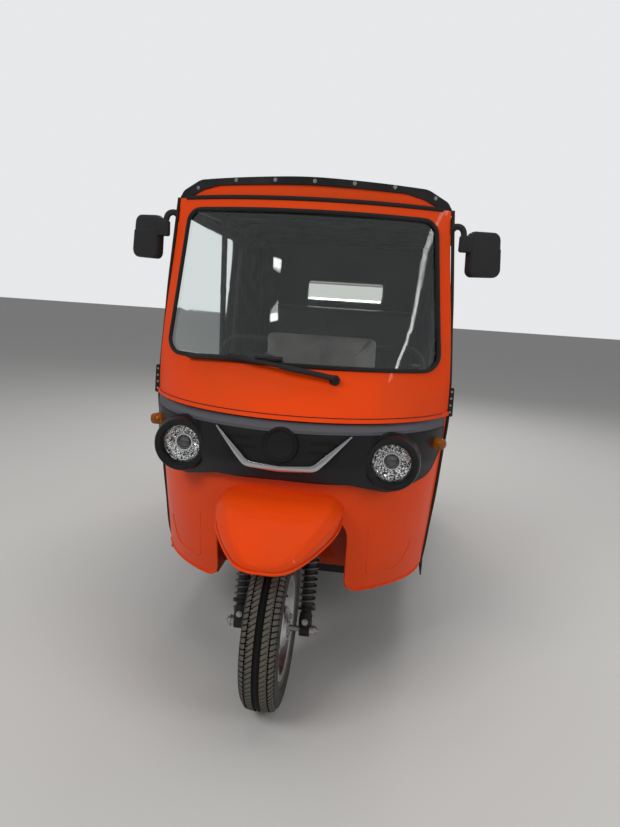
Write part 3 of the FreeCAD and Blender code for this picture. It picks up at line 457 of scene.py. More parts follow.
def mirrorAdded(shape):
    # Adds the other side's copy, with its faces turned the right way
    made = bmesh.ops.duplicate(shape, geom=allOf(shape))["geom"]
    bmesh.ops.transform(shape, matrix=mirrorX, verts=only(bmesh.types.BMVert, made))
    bmesh.ops.reverse_faces(shape, faces=only(bmesh.types.BMFace, made))


def cutLines(shape, axis, positions):
    # Extra edge loops across a shape
    normal = Vector((axis == "x", axis == "y", axis == "z"))
    for position in positions:
        bmesh.ops.bisect_plane(shape, geom=allOf(shape), dist=1e-6, plane_co=normal * position, plane_no=normal)


def stations(low, high, step):
    count = max(1, round((high - low) / step))
    return [low + (high - low) * k / count for k in range(1, count)]


def ease(value, low, high):
    share = min(1.0, max(0.0, (value - low) / (high - low)))
    return share * share * (3 - 2 * share)


# Surfaces of the cab
maskLevels = [(0.64, 0.512, 0.012, 0.323), (0.8, 0.516, -0.038, 0.318), (0.922, 0.516, -0.034, 0.318),
              (0.944, 0.516, 0.01, 0.323)]
lowerLevels = [(0.345, 0.485, 0.075, 0.4), (0.65, 0.508, 0.018, 0.375), (0.9427, 0.522, 0.006, 0.345)]


def levelSurface(levels, x, z):
    # y of the nose at x and z, between levels given as: height, half width, centre y, side y
    near = max(0, min(len(levels) - 2, sum(z > level[0] for level in levels) - 1))
    low, high = levels[near], levels[near + 1]
    share = (z - low[0]) / (high[0] - low[0])
    half, centre, side = (a + (b - a) * share for a, b in zip(low[1:], high[1:]))
    depth = side - centre
    radius = (half * half + depth * depth) / (2 * depth)
    return axleY + centre + radius - math.sqrt(max(radius * radius - x * x, 0.0004))


def maskSurface(x, z):
    return levelSurface(maskLevels, x, z)


def solidTree(*names):
    shape = bmesh.new()
    for name in names:
        shape.from_mesh(cad[name].data)
    tree = BVHTree.FromBMesh(shape)
    shape.free()
    return tree


screenTree = solidTree("front_cowl", "windscreen_glass", "windscreen_seal")
cowlTree = solidTree("front_cowl", "windscreen_glass", "windscreen_seal", "roof_cap", "front_panel", "hood_strip")


def frontPoint(tree, x, z, lift=0.0):
    # Where a ray from ahead meets the solids, lifted off them along their normal, with that normal
    spot, normal, _, _ = tree.ray_cast(Vector((x, axleY - 1, z)), Vector((0, 1, 0)))
    if spot is None:
        return None, None
    normal = -normal if normal.y > 0 else normal
    return spot + normal * lift, normal


def screenPoint(x, z, lift=0.0):
    # Point on the windscreen or its frame
    spot = frontPoint(screenTree, x, z, lift)[0]
    return Vector((x, axleY + 0.35, z)) if spot is None else spot


# Black mask with its trim
mask = {
    "line": [(0, 0.76), (0.215, 0.751, 0.06), (0.345, 0.714, 0.08), (0.47, 0.754, 0.07), (0.508, 0.845),
             (0.511, 0.9395, 0.004), (0, 0.9395)],
    "lampX": 0.34, "lampZ": 0.823, "lampR": 0.06,
    "grooves": [(0.088, 0.17, 0.882), (0.08, 0.15, 0.855)],   # from x, to x, height
    "ledge": 0.9105, "ledgeStep": 0.0025,
    "grooveDepth": 0.0035, "grooveFloor": 0.0012, "grooveEdge": 0.0034, "grooveEnd": 0.006,
    "soft": 0.0012,
}


def maskRelief(x, z):
    # How far the moulding sinks from its smooth face: ribs beside the boss, a shallow field inside the trim
    sink = 0
    for low, high, height in mask["grooves"]:
        across = 1 - ease(abs(z - height), mask["grooveFloor"], mask["grooveEdge"])
        start = ease(abs(x), low, low + mask["grooveEnd"])
        sink -= mask["grooveDepth"] * across * start * (1 - ease(abs(x), high - mask["grooveEnd"], high))
    sink += mask["ledgeStep"] * ease(z, mask["ledge"] - mask["soft"], mask["ledge"] + mask["soft"])
    rise = 0.35 * max(0, abs(x) - 0.125)
    lean = (0.915 - z) * 0.35
    field = ease(z, 0.8 + rise, 0.812 + rise) * (1 - ease(abs(x), 0.185 - lean, 0.205 - lean))
    return sink + 0.004 * field * (1 - ease(z, 0.903, 0.908))


def makeMask():
    line = roundedLine(mirroredLine(mask["line"]), 8)
    shape = bmesh.new()
    flat = shape.faces.new([shape.verts.new((p.x, 0, p.y)) for p in line])
    bmesh.ops.triangulate(shape, faces=[flat])
    cutLines(shape, "x", stations(-0.516, 0.516, 0.011))
    offsets = (-mask["grooveEdge"], -mask["grooveFloor"], mask["grooveFloor"], mask["grooveEdge"])
    fine = [height + offset for _, _, height in mask["grooves"] for offset in offsets]
    fine += [mask["ledge"] - mask["soft"], mask["ledge"], mask["ledge"] + mask["soft"], 0.9195]
    cutLines(shape, "z", stations(0.7, 0.918, 0.0075) + fine)
    end = mask["grooveEnd"]
    cutLines(shape, "x", [side * (edge + offset) for side in (-1, 1) for low, high, _ in mask["grooves"]
                          for edge, offset in ((low, 0), (low, end), (high, -end), (high, 0))])

    def fromLamp(spot):
        return math.hypot(abs(spot.x) - mask["lampX"], spot.z - mask["lampZ"])

    dropFaces(shape, lambda spot: fromLamp(spot) < 0.078)
    for vert in shape.verts:
        vert.co.y = maskSurface(vert.co.x, vert.co.z) + maskRelief(vert.co.x, vert.co.z)
    outer = [edge for edge in openEdges(shape.edges)
             if all(fromLamp(v.co) > 0.095 or v.co.z < 0.72 for v in edge.verts)]
    # Softened edge, then the wall back to the panel; along the top it is the ledge under the cowl
    for depth, spread in ((0.003, 0.003), (0.03, 0.0035), (0.045, 0.0035)):
        grown = bmesh.ops.extrude_edge_only(shape, edges=outer)["geom"]
        outer = openEdges(only(bmesh.types.BMEdge, grown))
        for vert in only(bmesh.types.BMVert, grown):
            vert.co.y += depth
            vert.co.z -= 0 if vert.co.z > 0.937 else spread
            vert.co.x *= 1 + spread / 0.5
    # Faces above the ledge take the lighter grey: painted light on the upward top
    for face in shape.faces:
        if face.calc_center_median().z > mask["ledge"]:
            face.material_index = 1
    for side in (-1, 1):
        centre = (side * mask["lampX"], axleY, mask["lampZ"])
        r = mask["lampR"]
        # Deep bezel: inner cone to the lens, a flat ring, a raised crescent outside it, the sloping outer wall
        turnedShape([
            (r + 0.0006, 0.12), (r + 0.0006, 0.058), (r + 0.004, 0.04), (r + 0.008, 0.036), (r + 0.019, 0.033),
            (r + 0.021, 0.0325), (r + 0.024, 0.036), (r + 0.0265, 0.042), (r + 0.03, 0.06), (r + 0.038, 0.2),
        ], 72, shape, centre)
        # Crescent brow above and outside the lamp
        brow = []
        for k in range(15):
            angle = math.radians(35 + 130 * k / 14)
            reach = r + 0.032 - 0.0012 * abs(k - 7)
            x = side * (mask["lampX"] + math.cos(angle) * reach * 0.98)
            z = mask["lampZ"] + math.sin(angle) * reach
            brow.append(Vector((x, min(maskSurface(x, min(z, 0.918)) + 0.004, axleY + 0.075), z)))
        swept(shape, brow, 0.0065, ring=3, resolution=3)
    finished("maskMoulding", shape, [blackPlastic, greyPlastic], instead=["front_mask"], sharp=40)


makeMask()


def makeMaskBoss():
    # Round boss at the middle of the mask, left blank
    y = maskSurface(0, 0.871)
    tilt = Vector((0, -1, 0.03))
    shape = turnedShape([
        (0.0, 0.0046), (0.032, 0.004), (0.038, 0.0022), (0.043, 0.0022), (0.047, 0.0068), (0.051, 0.0066),
        (0.056, -0.006),
    ], 64, None, (0.0, y, 0.871), tilt)
    finished("maskBoss", shape, blackPlastic)


makeMaskBoss()

smile = [(0, 0.7885), (0.112, 0.795, 0.045), (0.143, 0.826, 0.03), (0.2145, 0.9065), (0.2095, 0.9085),
         (0.128, 0.838, 0.03), (0.103, 0.813, 0.04), (0, 0.8065)]


def makeTrim():
    # Silver smile: a raised strip with a crowned face
    shape = bmesh.new()
    shape.faces.new([shape.verts.new((p.x, 0, p.y)) for p in roundedLine(mirroredLine(smile), 7)])
    cutLines(shape, "x", stations(-0.215, 0.215, 0.01))
    for vert in shape.verts:
        vert.co.y = maskSurface(vert.co.x, vert.co.z) + 0.001
    grown = bmesh.ops.extrude_face_region(shape, geom=shape.faces[:])["geom"]
    for vert in only(bmesh.types.BMVert, grown):
        vert.co.y -= 0.0085
    bmesh.ops.inset_region(shape, faces=only(bmesh.types.BMFace, grown), thickness=0.0018, depth=0.0012,
                           use_even_offset=True)
    outwards(shape)
    finished("maskTrim", shape, silverPlastic, instead=["mask_trim"], sharp=50)


makeTrim()
print("mask made")


# Headlamps
def makeHeadlamp(side, name):
    # Clear domed cover, chromed bowl in steps, dark projector in the middle
    r = 0.0595
    centre = (side * mask["lampX"], axleY, mask["lampZ"])
    bowl = turnedShape([
        (r, 0.064), (r - 0.002, 0.066), (r - 0.005, 0.0725), (r - 0.0085, 0.078), (r - 0.012, 0.0825),
        (r - 0.0155, 0.0865),
        (r - 0.019, 0.09), (r - 0.0225, 0.093), (r - 0.026, 0.0955), (r - 0.031, 0.098), (0.0, 0.1),
    ], 96, None, centre)
    # Facets of the bowl
    for vert in bowl.verts:
        flat = Vector((vert.co.x - centre[0], vert.co.z - centre[2]))
        if 0.029 < flat.length < r - 0.004:
            vert.co.y += 0.0036 * math.sin(math.atan2(flat.y, flat.x) * 16) * math.sin(flat.length * 520)
    # Bowl in the chrome with painted glints
    finished(name + "Bowl", bowl, facetMetal, sharp=2)
    for part, material, slot, steps, profile in (
        ("Ring", chrome, "lamp_glass", 48, [(0.0285, 0.1), (0.0285, 0.083), (0.0272, 0.081), (0.025, 0.081),
                                            (0.024, 0.0835), (0.024, 0.1)]),
        ("Projector", lampDark, "black_plastic", 40, [(0.024, 0.085), (0.0215, 0.0815), (0.017, 0.0785),
                                                      (0.011, 0.0765), (0.005, 0.0757), (0, 0.0755)]),
        ("Cover", lampGlass, "lamp_glass", 72, [(r, 0.066), (r, 0.058), (r - 0.004, 0.0525), (r - 0.015, 0.048),
                                                (r - 0.03, 0.045), (r - 0.045, 0.0435), (0, 0.043)]),
    ):
        finished(name + part, turnedShape(profile, steps, None, centre), material,
                 instead=[name] if part == "Cover" else [])


makeHeadlamp(-1, "headlamp_right")
makeHeadlamp(1, "headlamp_left")
print("headlamps made")


# Windscreen rubber and wiper
def screenLine(grow):
    # Dense outline of the windscreen, grown outwards
    base, top, corner = 1.106 - grow, 1.584 + grow, 0.042 + grow
    line = roundedLine(mirroredLine([(0.47 + grow, base, corner), (0.416 + grow, top, corner)]), 7)
    dense = []
    for here, after in zip(line, line[1:] + line[:1]):
        pieces = max(1, round((after - here).length / 0.05))
        dense += [here.lerp(after, k / pieces) for k in range(pieces)]
    return dense


def makeScreenSeal():
    shape = swept(None, [screenPoint(p.x, p.y, 0.0) for p in screenLine(0.006)], 0.0075, closed=True, ring=3,
                  resolution=2)
    bead = [screenPoint(p.x, p.y, 0.0055) for p in screenLine(0.0045)]
    swept(shape, bead, 0.0032, closed=True, ring=2, resolution=2)
    finished("screenSeal", shape, blackRubber, instead=["windscreen_seal"])


makeScreenSeal()

wiper = {"pivot": (0.139, 1.062), "armEnd": (-0.205, 1.1085),
         "bladeFrom": (-0.366, 1.0945), "bladeTo": (-0.032, 1.1115)}


def makeWiper():
    x, z = wiper["pivot"]
    base = screenPoint(x, z)
    outward = (screenPoint(x, z, 1.0) - base).normalized()
    shape = turnedShape([(0.017, -0.004), (0.017, 0.006), (0.013, 0.009), (0.012, 0.02), (0.009, 0.024), (0, 0.025)],
                        28, None, base, outward)
    hexHead(0.0065, 0.006, base + outward * 0.024, outward, shape, 1)
    arm = [base + outward * 0.019]
    for k in range(1, 9):
        share = k / 8
        spot = Vector(wiper["pivot"]).lerp(Vector(wiper["armEnd"]), share)
        arm.append(screenPoint(spot.x, spot.y, 0.021 + 0.005 * math.sin(share * math.pi)))
    swept(shape, arm[:5], 0.0092, ring=3, resolution=3)
    swept(shape, arm[4:], 0.0064, ring=3, resolution=3)
    blade = [Vector(wiper["bladeFrom"]).lerp(Vector(wiper["bladeTo"]), k / 16) for k in range(17)]
    swept(shape, [screenPoint(*spot, 0.015) for spot in blade], 0.0082, ring=3, resolution=2)
    swept(shape, [screenPoint(spot.x, spot.y - 0.004, 0.008) for spot in blade], 0.0052, ring=2, resolution=2)
    for k in (1, 5, 11, 15):
        swept(shape, [screenPoint(*blade[k], 0.006), screenPoint(*blade[k], 0.02)], 0.0036, smooth=False, ring=1)
    for low, high in ((1, 8), (8, 15), (4, 12)):
        bow = [screenPoint(*blade[k], 0.0175 + 0.006 * math.sin(math.pi * (k - low) / (high - low)))
               for k in range(low, high + 1)]
        swept(shape, bow, 0.0036, ring=1, resolution=2)
    finished("wiperArm", shape, [softBlack, blackPaint], instead=["wiper"])


makeWiper()
print("windscreen made")


# Beak over the front wheel
beak = {
    "reach": 0.25, "wall": 0.004,
    # share of the reach; half width and height of the crease, the upper corner, the side corner, the rim; crown height
    "stations": [(-0.30, 0.108, 0.710, 0.174, 0.704, 0.205, 0.668, 0.197, 0.630, 0.714),
                 (0.00, 0.105, 0.702, 0.172, 0.696, 0.203, 0.660, 0.197, 0.618, 0.706),
                 (0.22, 0.101, 0.686, 0.162, 0.679, 0.190, 0.646, 0.185, 0.605, 0.691),
                 (0.45, 0.095, 0.663, 0.140, 0.655, 0.165, 0.625, 0.160, 0.590, 0.669),
                 (0.66, 0.087, 0.637, 0.116, 0.628, 0.135, 0.603, 0.130, 0.575, 0.643),
                 (0.84, 0.077, 0.609, 0.090, 0.601, 0.102, 0.584, 0.098, 0.563, 0.615),
                 (0.95, 0.062, 0.586, 0.068, 0.580, 0.074, 0.570, 0.071, 0.556, 0.590),
                 (1.00, 0.034, 0.568, 0.037, 0.565, 0.040, 0.560, 0.038, 0.552, 0.569)],
}


def makeBeak():
    # Beak in three planes with creases between them, softened sides and a rolled rim
    shape = bmesh.new()
    rows = []
    for share, creaseX, creaseZ, upperX, upperZ, sideX, sideZ, rimX, rimZ, crown in beak["stations"]:
        y = axleY - beak["reach"] * share
        half = [(rimX, rimZ), (sideX, sideZ), (upperX, upperZ), (creaseX, creaseZ), (creaseX * 0.45, crown - 0.001),
                (0, crown)]
        row = [(x, y, z) for x, z in half] + [(-x, y, z) for x, z in reversed(half[:-1])]
        rows.append([shape.verts.new(point) for point in row])
    for near, far in zip(rows, rows[1:]):
        edges = [shape.edges.get(pair) or shape.edges.new(pair) for line in (near, far) for pair in zip(line, line[1:])]
        bmesh.ops.bridge_loops(shape, edges=edges)
    shape.faces.new(rows[-1])
    creases = shape.edges.layers.float.new("crease_edge")
    for near, far in zip(rows, rows[1:]):
        for column, amount in ((1, 0.5), (2, 0.55), (3, 0.72), (7, 0.72), (8, 0.55), (9, 0.5)):
            edge = shape.edges.get((near[column], far[column]))
            if edge:
                edge[creases] = amount
    outwards(shape)
    piece = finished("mudguardBeak", shape, orangePaint, instead=["mudguard"], sharp=60)
    addModifier(piece, "SOLIDIFY", thickness=beak["wall"], offset=-1)
    addModifier(piece, "SUBSURF", levels=3, render_levels=3)
    line = [Vector((row[7], axleY - beak["reach"] * row[0], row[8])) for row in beak["stations"]]
    line.append(Vector((0, axleY - beak["reach"] * 1.006, 0.5515)))
    line += [Vector((-p.x, p.y, p.z)) for p in reversed(line[:-1])]
    roll = swept(None, line, 0.0042, ring=3, resolution=6)
    finished("mudguardRoll", roll, orangePaint)


makeBeak()
print("mudguard made")


# Tyres
tyre = {"radius": 0.258, "pitches": 92, "grooves": [(0.0085, 0.0118), (0.0333, 0.037)], "sipeRun": 0.0215}


def treadDepth(x, angle):
    # Pattern at a place on the crown: four round grooves, slanted sipes between them, notched shoulders
    a = abs(x)
    if any(low <= a <= high for low, high in tyre["grooves"]):
        return 0.0062
    pitch = angle / (2 * math.pi) * tyre["pitches"]
    if 0.0118 < a < 0.0333:
        slant = pitch - x / tyre["sipeRun"] * 0.9
        if slant % 1 < 0.14:
            return 0.0046
        return 0.003 if a > 0.0265 and (slant + 0.5) % 1 < 0.13 else 0
    if a > 0.037:
        return 0.0042 if (pitch - x / tyre["sipeRun"] * 0.35 + 0.3) % 1 < 0.16 else 0
    return 0


def makeTyre(name, body, centre):
    crown = [0.0, 0.0085, 0.0088, 0.0115, 0.0118, 0.0145, 0.0175, 0.0205, 0.0235, 0.0265, 0.03, 0.0331, 0.0334, 0.0367,
             0.037, 0.04, 0.0435, 0.047, 0.0505, 0.0535]

    def crownRadius(a):
        return tyre["radius"] - 0.0025 * (a / 0.03) ** 2 - 0.012 * ease(a, 0.04, 0.0565)

    profile = [(x, crownRadius(x)) for x in crown]
    profile += [(0.056, 0.2345), (0.0575, 0.226), (0.0582, 0.214), (0.0572, 0.2), (0.056, 0.1985), (0.0545, 0.186),
                (0.052, 0.1845), (0.049, 0.174), (0.045, 0.166), (0.0432, 0.158), (0.042, 0.1515), (0.036, 0.1515)]
    full = [(-x, r) for x, r in reversed(profile[1:])] + profile
    shape = bmesh.new()
    verts = [shape.verts.new((x, 0, r)) for x, r in full]
    edges = [shape.edges.new(pair) for pair in zip(verts, verts[1:])]
    bmesh.ops.spin(shape, geom=verts + edges, cent=(0, 0, 0), axis=(1, 0, 0), angle=2 * math.pi,
                   steps=tyre["pitches"] * 8, use_merge=True)
    sunk = set()
    for vert in shape.verts:
        radius = math.hypot(vert.co.y, vert.co.z)
        if radius > 0.236 and abs(vert.co.x) < 0.0545:
            depth = treadDepth(vert.co.x, math.atan2(vert.co.y, vert.co.z) % (2 * math.pi))
            vert.co.y *= (radius - depth) / radius
            vert.co.z *= (radius - depth) / radius
            if depth > 0:
                sunk.add(vert)
    # Sunk faces get the near black, painted shade in the grooves; raised crown faces get the dusty grey
    for face in shape.faces:
        low = sum(vert in sunk for vert in face.verts)
        face.material_index = 1 if low > 1 else 2 if abs(face.calc_center_median().x) < 0.052 else 0
    bmesh.ops.bridge_loops(shape, edges=openEdges(shape.edges))
    outwards(shape)
    moveIn(shape, Matrix.Translation(centre))
    finished(name, shape, [tyreBlack, grooveBlack, treadDusty], body, [name], sharp=30)


wheels = {
    "front_tyre": ("front_wheel", "front_wheel_spin"),
    "rear_tyre_left": ("rear_wheel_left", "rear_wheel_left_spin"),
    "rear_tyre_right": ("rear_wheel_right", "rear_wheel_right_spin"),
}
for name, (body, joint) in wheels.items():
    makeTyre(name, body, Vector(joints[joint]["pos_m"]))
print("tyres made")


# Fork springs and fittings
forkFrame = {"rake": 17, "spread": 0.108, "from": 0.072, "length": 0.236, "turns": 11, "coil": 0.0242, "wire": 0.004}
leanedFork = Matrix.Translation((0, axleY, axleZ)) @ Matrix.Rotation(math.radians(-forkFrame["rake"]), 4, "X")


def makeForkSprings():
    # Open coils round the legs over a dark inner sleeve
    shape = None
    for side in (-1, 1):
        x, low, length = side * forkFrame["spread"], forkFrame["from"], forkFrame["length"]
        shape = coilShape(shape, forkFrame["coil"], forkFrame["wire"], forkFrame["turns"], length - 0.012,
                          Vector((x, 0, low + 0.006)))
        turnedShape([(0.0165, 0.0), (0.019, 0.0), (0.019, length), (0.0165, length)], 32, shape, (x, 0, low), (0, 0, 1),
                    1)
    moveIn(shape, leanedFork)
    finished("forkCoils", shape, [springSteel, softBlack], "steering", ["fork_springs"], sharp=50)


makeForkSprings()


def makeForkFittings():
    # Lugs, pinch bolts and caps on the legs, and the nuts on the axle's ends
    shape = bmesh.new()
    for side in (-1, 1):
        x = side * forkFrame["spread"]
        turnedShape([(0.0162, 0.01), (0.0215, 0.012), (0.022, 0.03), (0.0198, 0.05), (0.0162, 0.058)], 32, shape,
                    (x, 0, 0), (0, 0, 1))
        hexHead(0.0075, 0.007, (x, -0.0212, 0.026), (0, -1, 0), shape, 1)
        hexHead(0.006, 0.006, (x + side * 0.021, 0, 0.04), (side, 0, 0), shape, 1)
        turnedShape([(0.0162, 0.33), (0.0235, 0.332), (0.0235, 0.338), (0.0162, 0.342)], 32, shape, (x, 0, 0),
                    (0, 0, 1))
        for k in range(4):
            angle = math.pi / 4 + k * math.pi / 2
            domeHead(0.004, 0.003, (x + math.cos(angle) * 0.023, math.sin(angle) * 0.023, 0.341), (0, 0, 1), shape, 1)
    moveIn(shape, leanedFork)
    for side in (-1, 1):
        hexHead(0.0135, 0.01, (side * 0.1355, axleY, axleZ), (side, 0, 0), shape, 1)
        discShape(0.005, 0.008, (side * 0.145, axleY, axleZ), (side, 0, 0), 0.001, shape, 1)
    finished("forkFittings", shape, [blackPaint, plainSteel], "steering")


makeForkFittings()
print("fork dressed")


# Mirrors
mirror = {"line": [(0.54, 1.417, 0.022), (0.664, 1.423, 0.026), (0.65, 1.572, 0.026), (0.534, 1.568, 0.024)],
          "back": -0.672, "hinge": (0.534, -0.692, 0), "turned": 25}


def makeMirror(side, name):
    # Moulded shell with a step across its face, a rounded rim, and the glass on the driver's side
    line = roundedLine(mirror["line"], 7)
    middle = sum(line, Vector((0, 0))) / len(line)
    back = mirror["back"]
    shape = bmesh.new()
    rings = []
    for grow, ahead in ((0.9, 0.002), (0.955, 0.001), (0.985, 0.003), (1.0, 0.007), (1.0, 0.026), (0.99, 0.031),
                        (0.965, 0.035), (0.92, 0.038), (0.86, 0.0395)):
        ring = [middle + (p - middle) * grow for p in line]
        rings.append([shape.verts.new((p.x, back - ahead, p.y)) for p in ring])
    for near, far in zip(rings, rings[1:]):
        for k in range(len(line)):
            shape.faces.new((near[k], near[k - 1], far[k - 1], far[k]))
    shape.faces.new(rings[-1])
    glass = shape.faces.new(rings[0])
    glass.material_index = 1
    cutLines(shape, "z", [1.514, 1.5155, 1.5185, 1.52])
    for vert in shape.verts:
        if vert.co.y < back - 0.004:
            share = ease(-vert.co.y, -back + 0.004, -back + 0.034)
            step = 0.0035 * ease(vert.co.z, 1.515, 1.519)
            vert.co.y += share * (step - 0.0015 * (1 - ease(abs(vert.co.z - 1.517), 0.0, 0.002)))
    outwards(shape)
    bmesh.ops.rotate(shape, verts=shape.verts, cent=mirror["hinge"],
                     matrix=Matrix.Rotation(math.radians(mirror["turned"]), 3, "Z"))
    # Lobe over the joint, bent arm, and the clamp on the pillar
    blockShape((0.503, -0.7065, 1.497), (0.548, -0.68, 1.552), 0.008, 4, shape)
    arm = [(0.478, -0.676, 1.578), (0.496, -0.681, 1.581), (0.51, -0.686, 1.574), (0.519, -0.691, 1.545)]
    swept(shape, arm, 0.0105, ring=4, resolution=5)
    turnedShape([(0.0, 0.0), (0.0165, 0.0), (0.017, 0.005), (0.012, 0.014), (0.008, 0.018)], 24, shape,
                (0.4742, -0.676, 1.578), (1, 0, 0))
    blockShape((0.4736, -0.692, 1.553), (0.479, -0.662, 1.602), 0.0022, 2, shape)
    for z in (1.559, 1.596):
        hexHead(0.0045, 0.004, (0.479, -0.677, z), (1, 0, 0), shape, 2)
    if side < 0:
        moveIn(shape, mirrorX)
        bmesh.ops.reverse_faces(shape, faces=shape.faces[:])
    finished(name + "Shell", shape, [softBlack, mirrorGlass, plainSteel], instead=[name],
             sharp=32)


makeMirror(1, "mirror_left")
makeMirror(-1, "mirror_right")


# Indicators
def makeIndicators():
    # Amber dome over a bright reflector, in a black base at each end of the mask
    for side, name in ((-1, "Right"), (1, "Left")):
        centre = Vector((side * 0.47, axleY + 0.268, 0.857))
        outward = Vector((side * 0.86, -0.51, 0.0)).normalized()
        for part, material, slot, profile in (
            ("Base", blackPlastic, "black_plastic", [(0, -0.014), (0.0275, -0.014), (0.0275, 0.006), (0.0255, 0.0085),
                                                     (0.024, 0.0085), (0.0235, 0.003), (0, 0.003)]),
            ("Dish", chrome, "amber_lens", [(0.0228, 0.0095), (0.02, 0.006), (0.01, 0.004), (0, 0.0036), (0, 0.0032),
                                            (0.023, 0.0032)]),
            ("Lens", amberLens, "amber_lens", [(0, 0.01), (0.0215, 0.01), (0.021, 0.029), (0.0198, 0.042),
                                               (0.0168, 0.05), (0.0105, 0.0545), (0, 0.056)]),
        ):
            whole = part == "Base" and side < 0
            finished("indicator" + part + name, turnedShape(profile, 36, None, centre, outward), material,
                     instead=["front_indicators"] if whole else [])


makeIndicators()
print("mirrors and indicators made")


# Beading, brackets, gasket and snaps
def makeBeading():
    # Rubber edge strip down each side of the cab's front
    line = [(0.487, -0.622, 0.352), (0.4925, -0.638, 0.4), (0.503, -0.6495, 0.525), (0.5135, -0.661, 0.65),
            (0.5205, -0.6765, 0.795), (0.5275, -0.692, 0.94),
            (0.523, -0.692, 1.05), (0.5085, -0.6915, 1.23), (0.501, -0.691, 1.33), (0.4905, -0.686, 1.45),
            (0.482, -0.681, 1.546), (0.475, -0.676, 1.632)]
    shape = swept(None, line, 0.006, ring=3, resolution=8)
    mirrorAdded(shape)
    # Painted flange that the strip is pushed on to
    flange = swept(None, [Vector(point) - Vector((0.0098, -0.002, 0)) for point in line[2:7]], 0.0068, ring=3,
                   resolution=8)
    mirrorAdded(flange)
    finished("cornerFlange", flange, orangePaint)
    finished("cabBeading", shape, blackRubber, instead=["side_beading"])


makeBeading()


def makeCowlGrooveShadow():
    # Black line painted as the shade in the groove above the cowl's rolled lower lip
    knots = [frontPoint(cowlTree, -0.5 + 1.0 * k / 40, 0.956, 0.0002)[0] for k in range(41)]
    groove = swept(None, [knot for knot in knots if knot], 0.0015, ring=2, resolution=1)
    finished("cowlGroove", groove, blackRubber)


makeCowlGrooveShadow()


def makeBracketBolts():
    shape = bmesh.new()
    for z in (0.951, 0.975, 0.999, 1.023):
        domeHead(0.0062, 0.0045, (0.529, -0.666, z), (1, 0, 0), shape)
        domeHead(0.0042, 0.003, (0.531, -0.703, z + 0.003), (0, -1, 0), shape)
    mirrorAdded(shape)
    # Forward flange of the bracket
    outline = roundedLine([(0.521, 0.937, 0.003), (0.542, 0.938, 0.006), (0.539, 1.04, 0.006), (0.519, 1.041, 0.003)],
                          3)
    flange = slabShape(outline, -0.703, -0.698, 0.001)
    mirrorAdded(flange)
    finished("bracketFlange", flange, blackPaint)
    finished("bracketBolts", shape, plainSteel)


makeBracketBolts()


def makeRoofGasket():
    # Thin rubber line between the header and the roof cap
    line = []
    for k in range(41):
        x = -0.44 + 0.88 * k / 40
        spot, _ = frontPoint(cowlTree, x, 1.624)
        if spot:
            line.append(Vector((spot.x, spot.y, 1.6305)))
    finished("roofGasket", swept(None, line, 0.007, ring=2, resolution=3), blackRubber)


makeRoofGasket()

snapSpots = [(-0.395, 1.662), (-0.25, 1.684), (-0.113, 1.686), (0.018, 1.686), (0.146, 1.686), (0.275, 1.685),
             (0.411, 1.664)]


def makeSnaps():
    # Snap buttons along the canopy's front band
    shape = bmesh.new()
    tree = solidTree("hood_strip")
    for x, z in snapSpots:
        spot, normal = frontPoint(tree, x, z)
        turnedShape([(0.0066, -0.001), (0.0066, 0.001), (0.0054, 0.0014), (0.0049, 0.0028), (0.0024, 0.0036),
                     (0, 0.0037)],
                    20, shape, spot, normal)
    finished("bandSnaps", shape, plainSteel)


makeSnaps()
print("front trim made")


# Hood
hood = {"front": 0.424, "rear": 2.288, "waist": 0.9205, "top": 1.732, "tail": 0.6, "entryEnd": 1.45, "entryTop": 1.61,
        "bows": [0.424, 0.735, 1.05, 1.45, 2.06, 2.288], "window": (0.24, 1.31, 1.44),
        "bend": 0.105, "cloth": 0.0022, "film": 0.0012}


def blendedMin(a, b):
    power = 22
    return (a ** -power + b ** -power) ** (-1 / power)


def hoodHalf(y, z):
    # Half width of the stretched canopy at a place along it and a height
    plan = 0.48 + 0.065 * ease(y, 0.424, 1.05) + 0.06 * ease(y, 0.95, 1.5)
    front = 0.6 - 0.049 * ease(z, 0.92, 1.56) - 0.01 * ease(z, 1.56, 1.7)
    return blendedMin(plan, front)


def hoodPoint(x, y, z):
    # x from -1 to 1 across, y along from the front axle, z as it is
    half = hoodHalf(y, z)
    side = abs(x)
    high = ease(z, 1.5, 1.7)
    crown = 0.015 + 0.025 * ease(y, 0.424, 1.05)
    drop = high * (crown * side * side + 0.033 * (1 - ease(y, 0.424, 1.0)) + 0.036 * ease(y, 1.7, 2.14))
    slope = 0.15 * ease(y, 1.45, 2.288) * (z - 0.92) / 0.78
    for near, far in zip(hood["bows"], hood["bows"][1:]):
        if near <= y < far:
            bay = math.sin(math.pi * (y - near) / (far - near)) ** 2
            drop += 0.0075 * bay * high * (1 - side ** 4) * min(1, (far - near) / 0.4)
            half -= 0.006 * bay * ease(z, 0.95, 1.1) * (1 - ease(z, 1.45, 1.62))
    ripple = 0.003 * noise.noise(Vector((x * 2.3, y * 6, z * 6)))
    ripple += 0.0012 * noise.noise(Vector((x * 7, y * 21, z * 17)))
    return Vector((x * (half + ripple), axleY + y - slope + ripple * 0.5, z - drop + ripple * high))


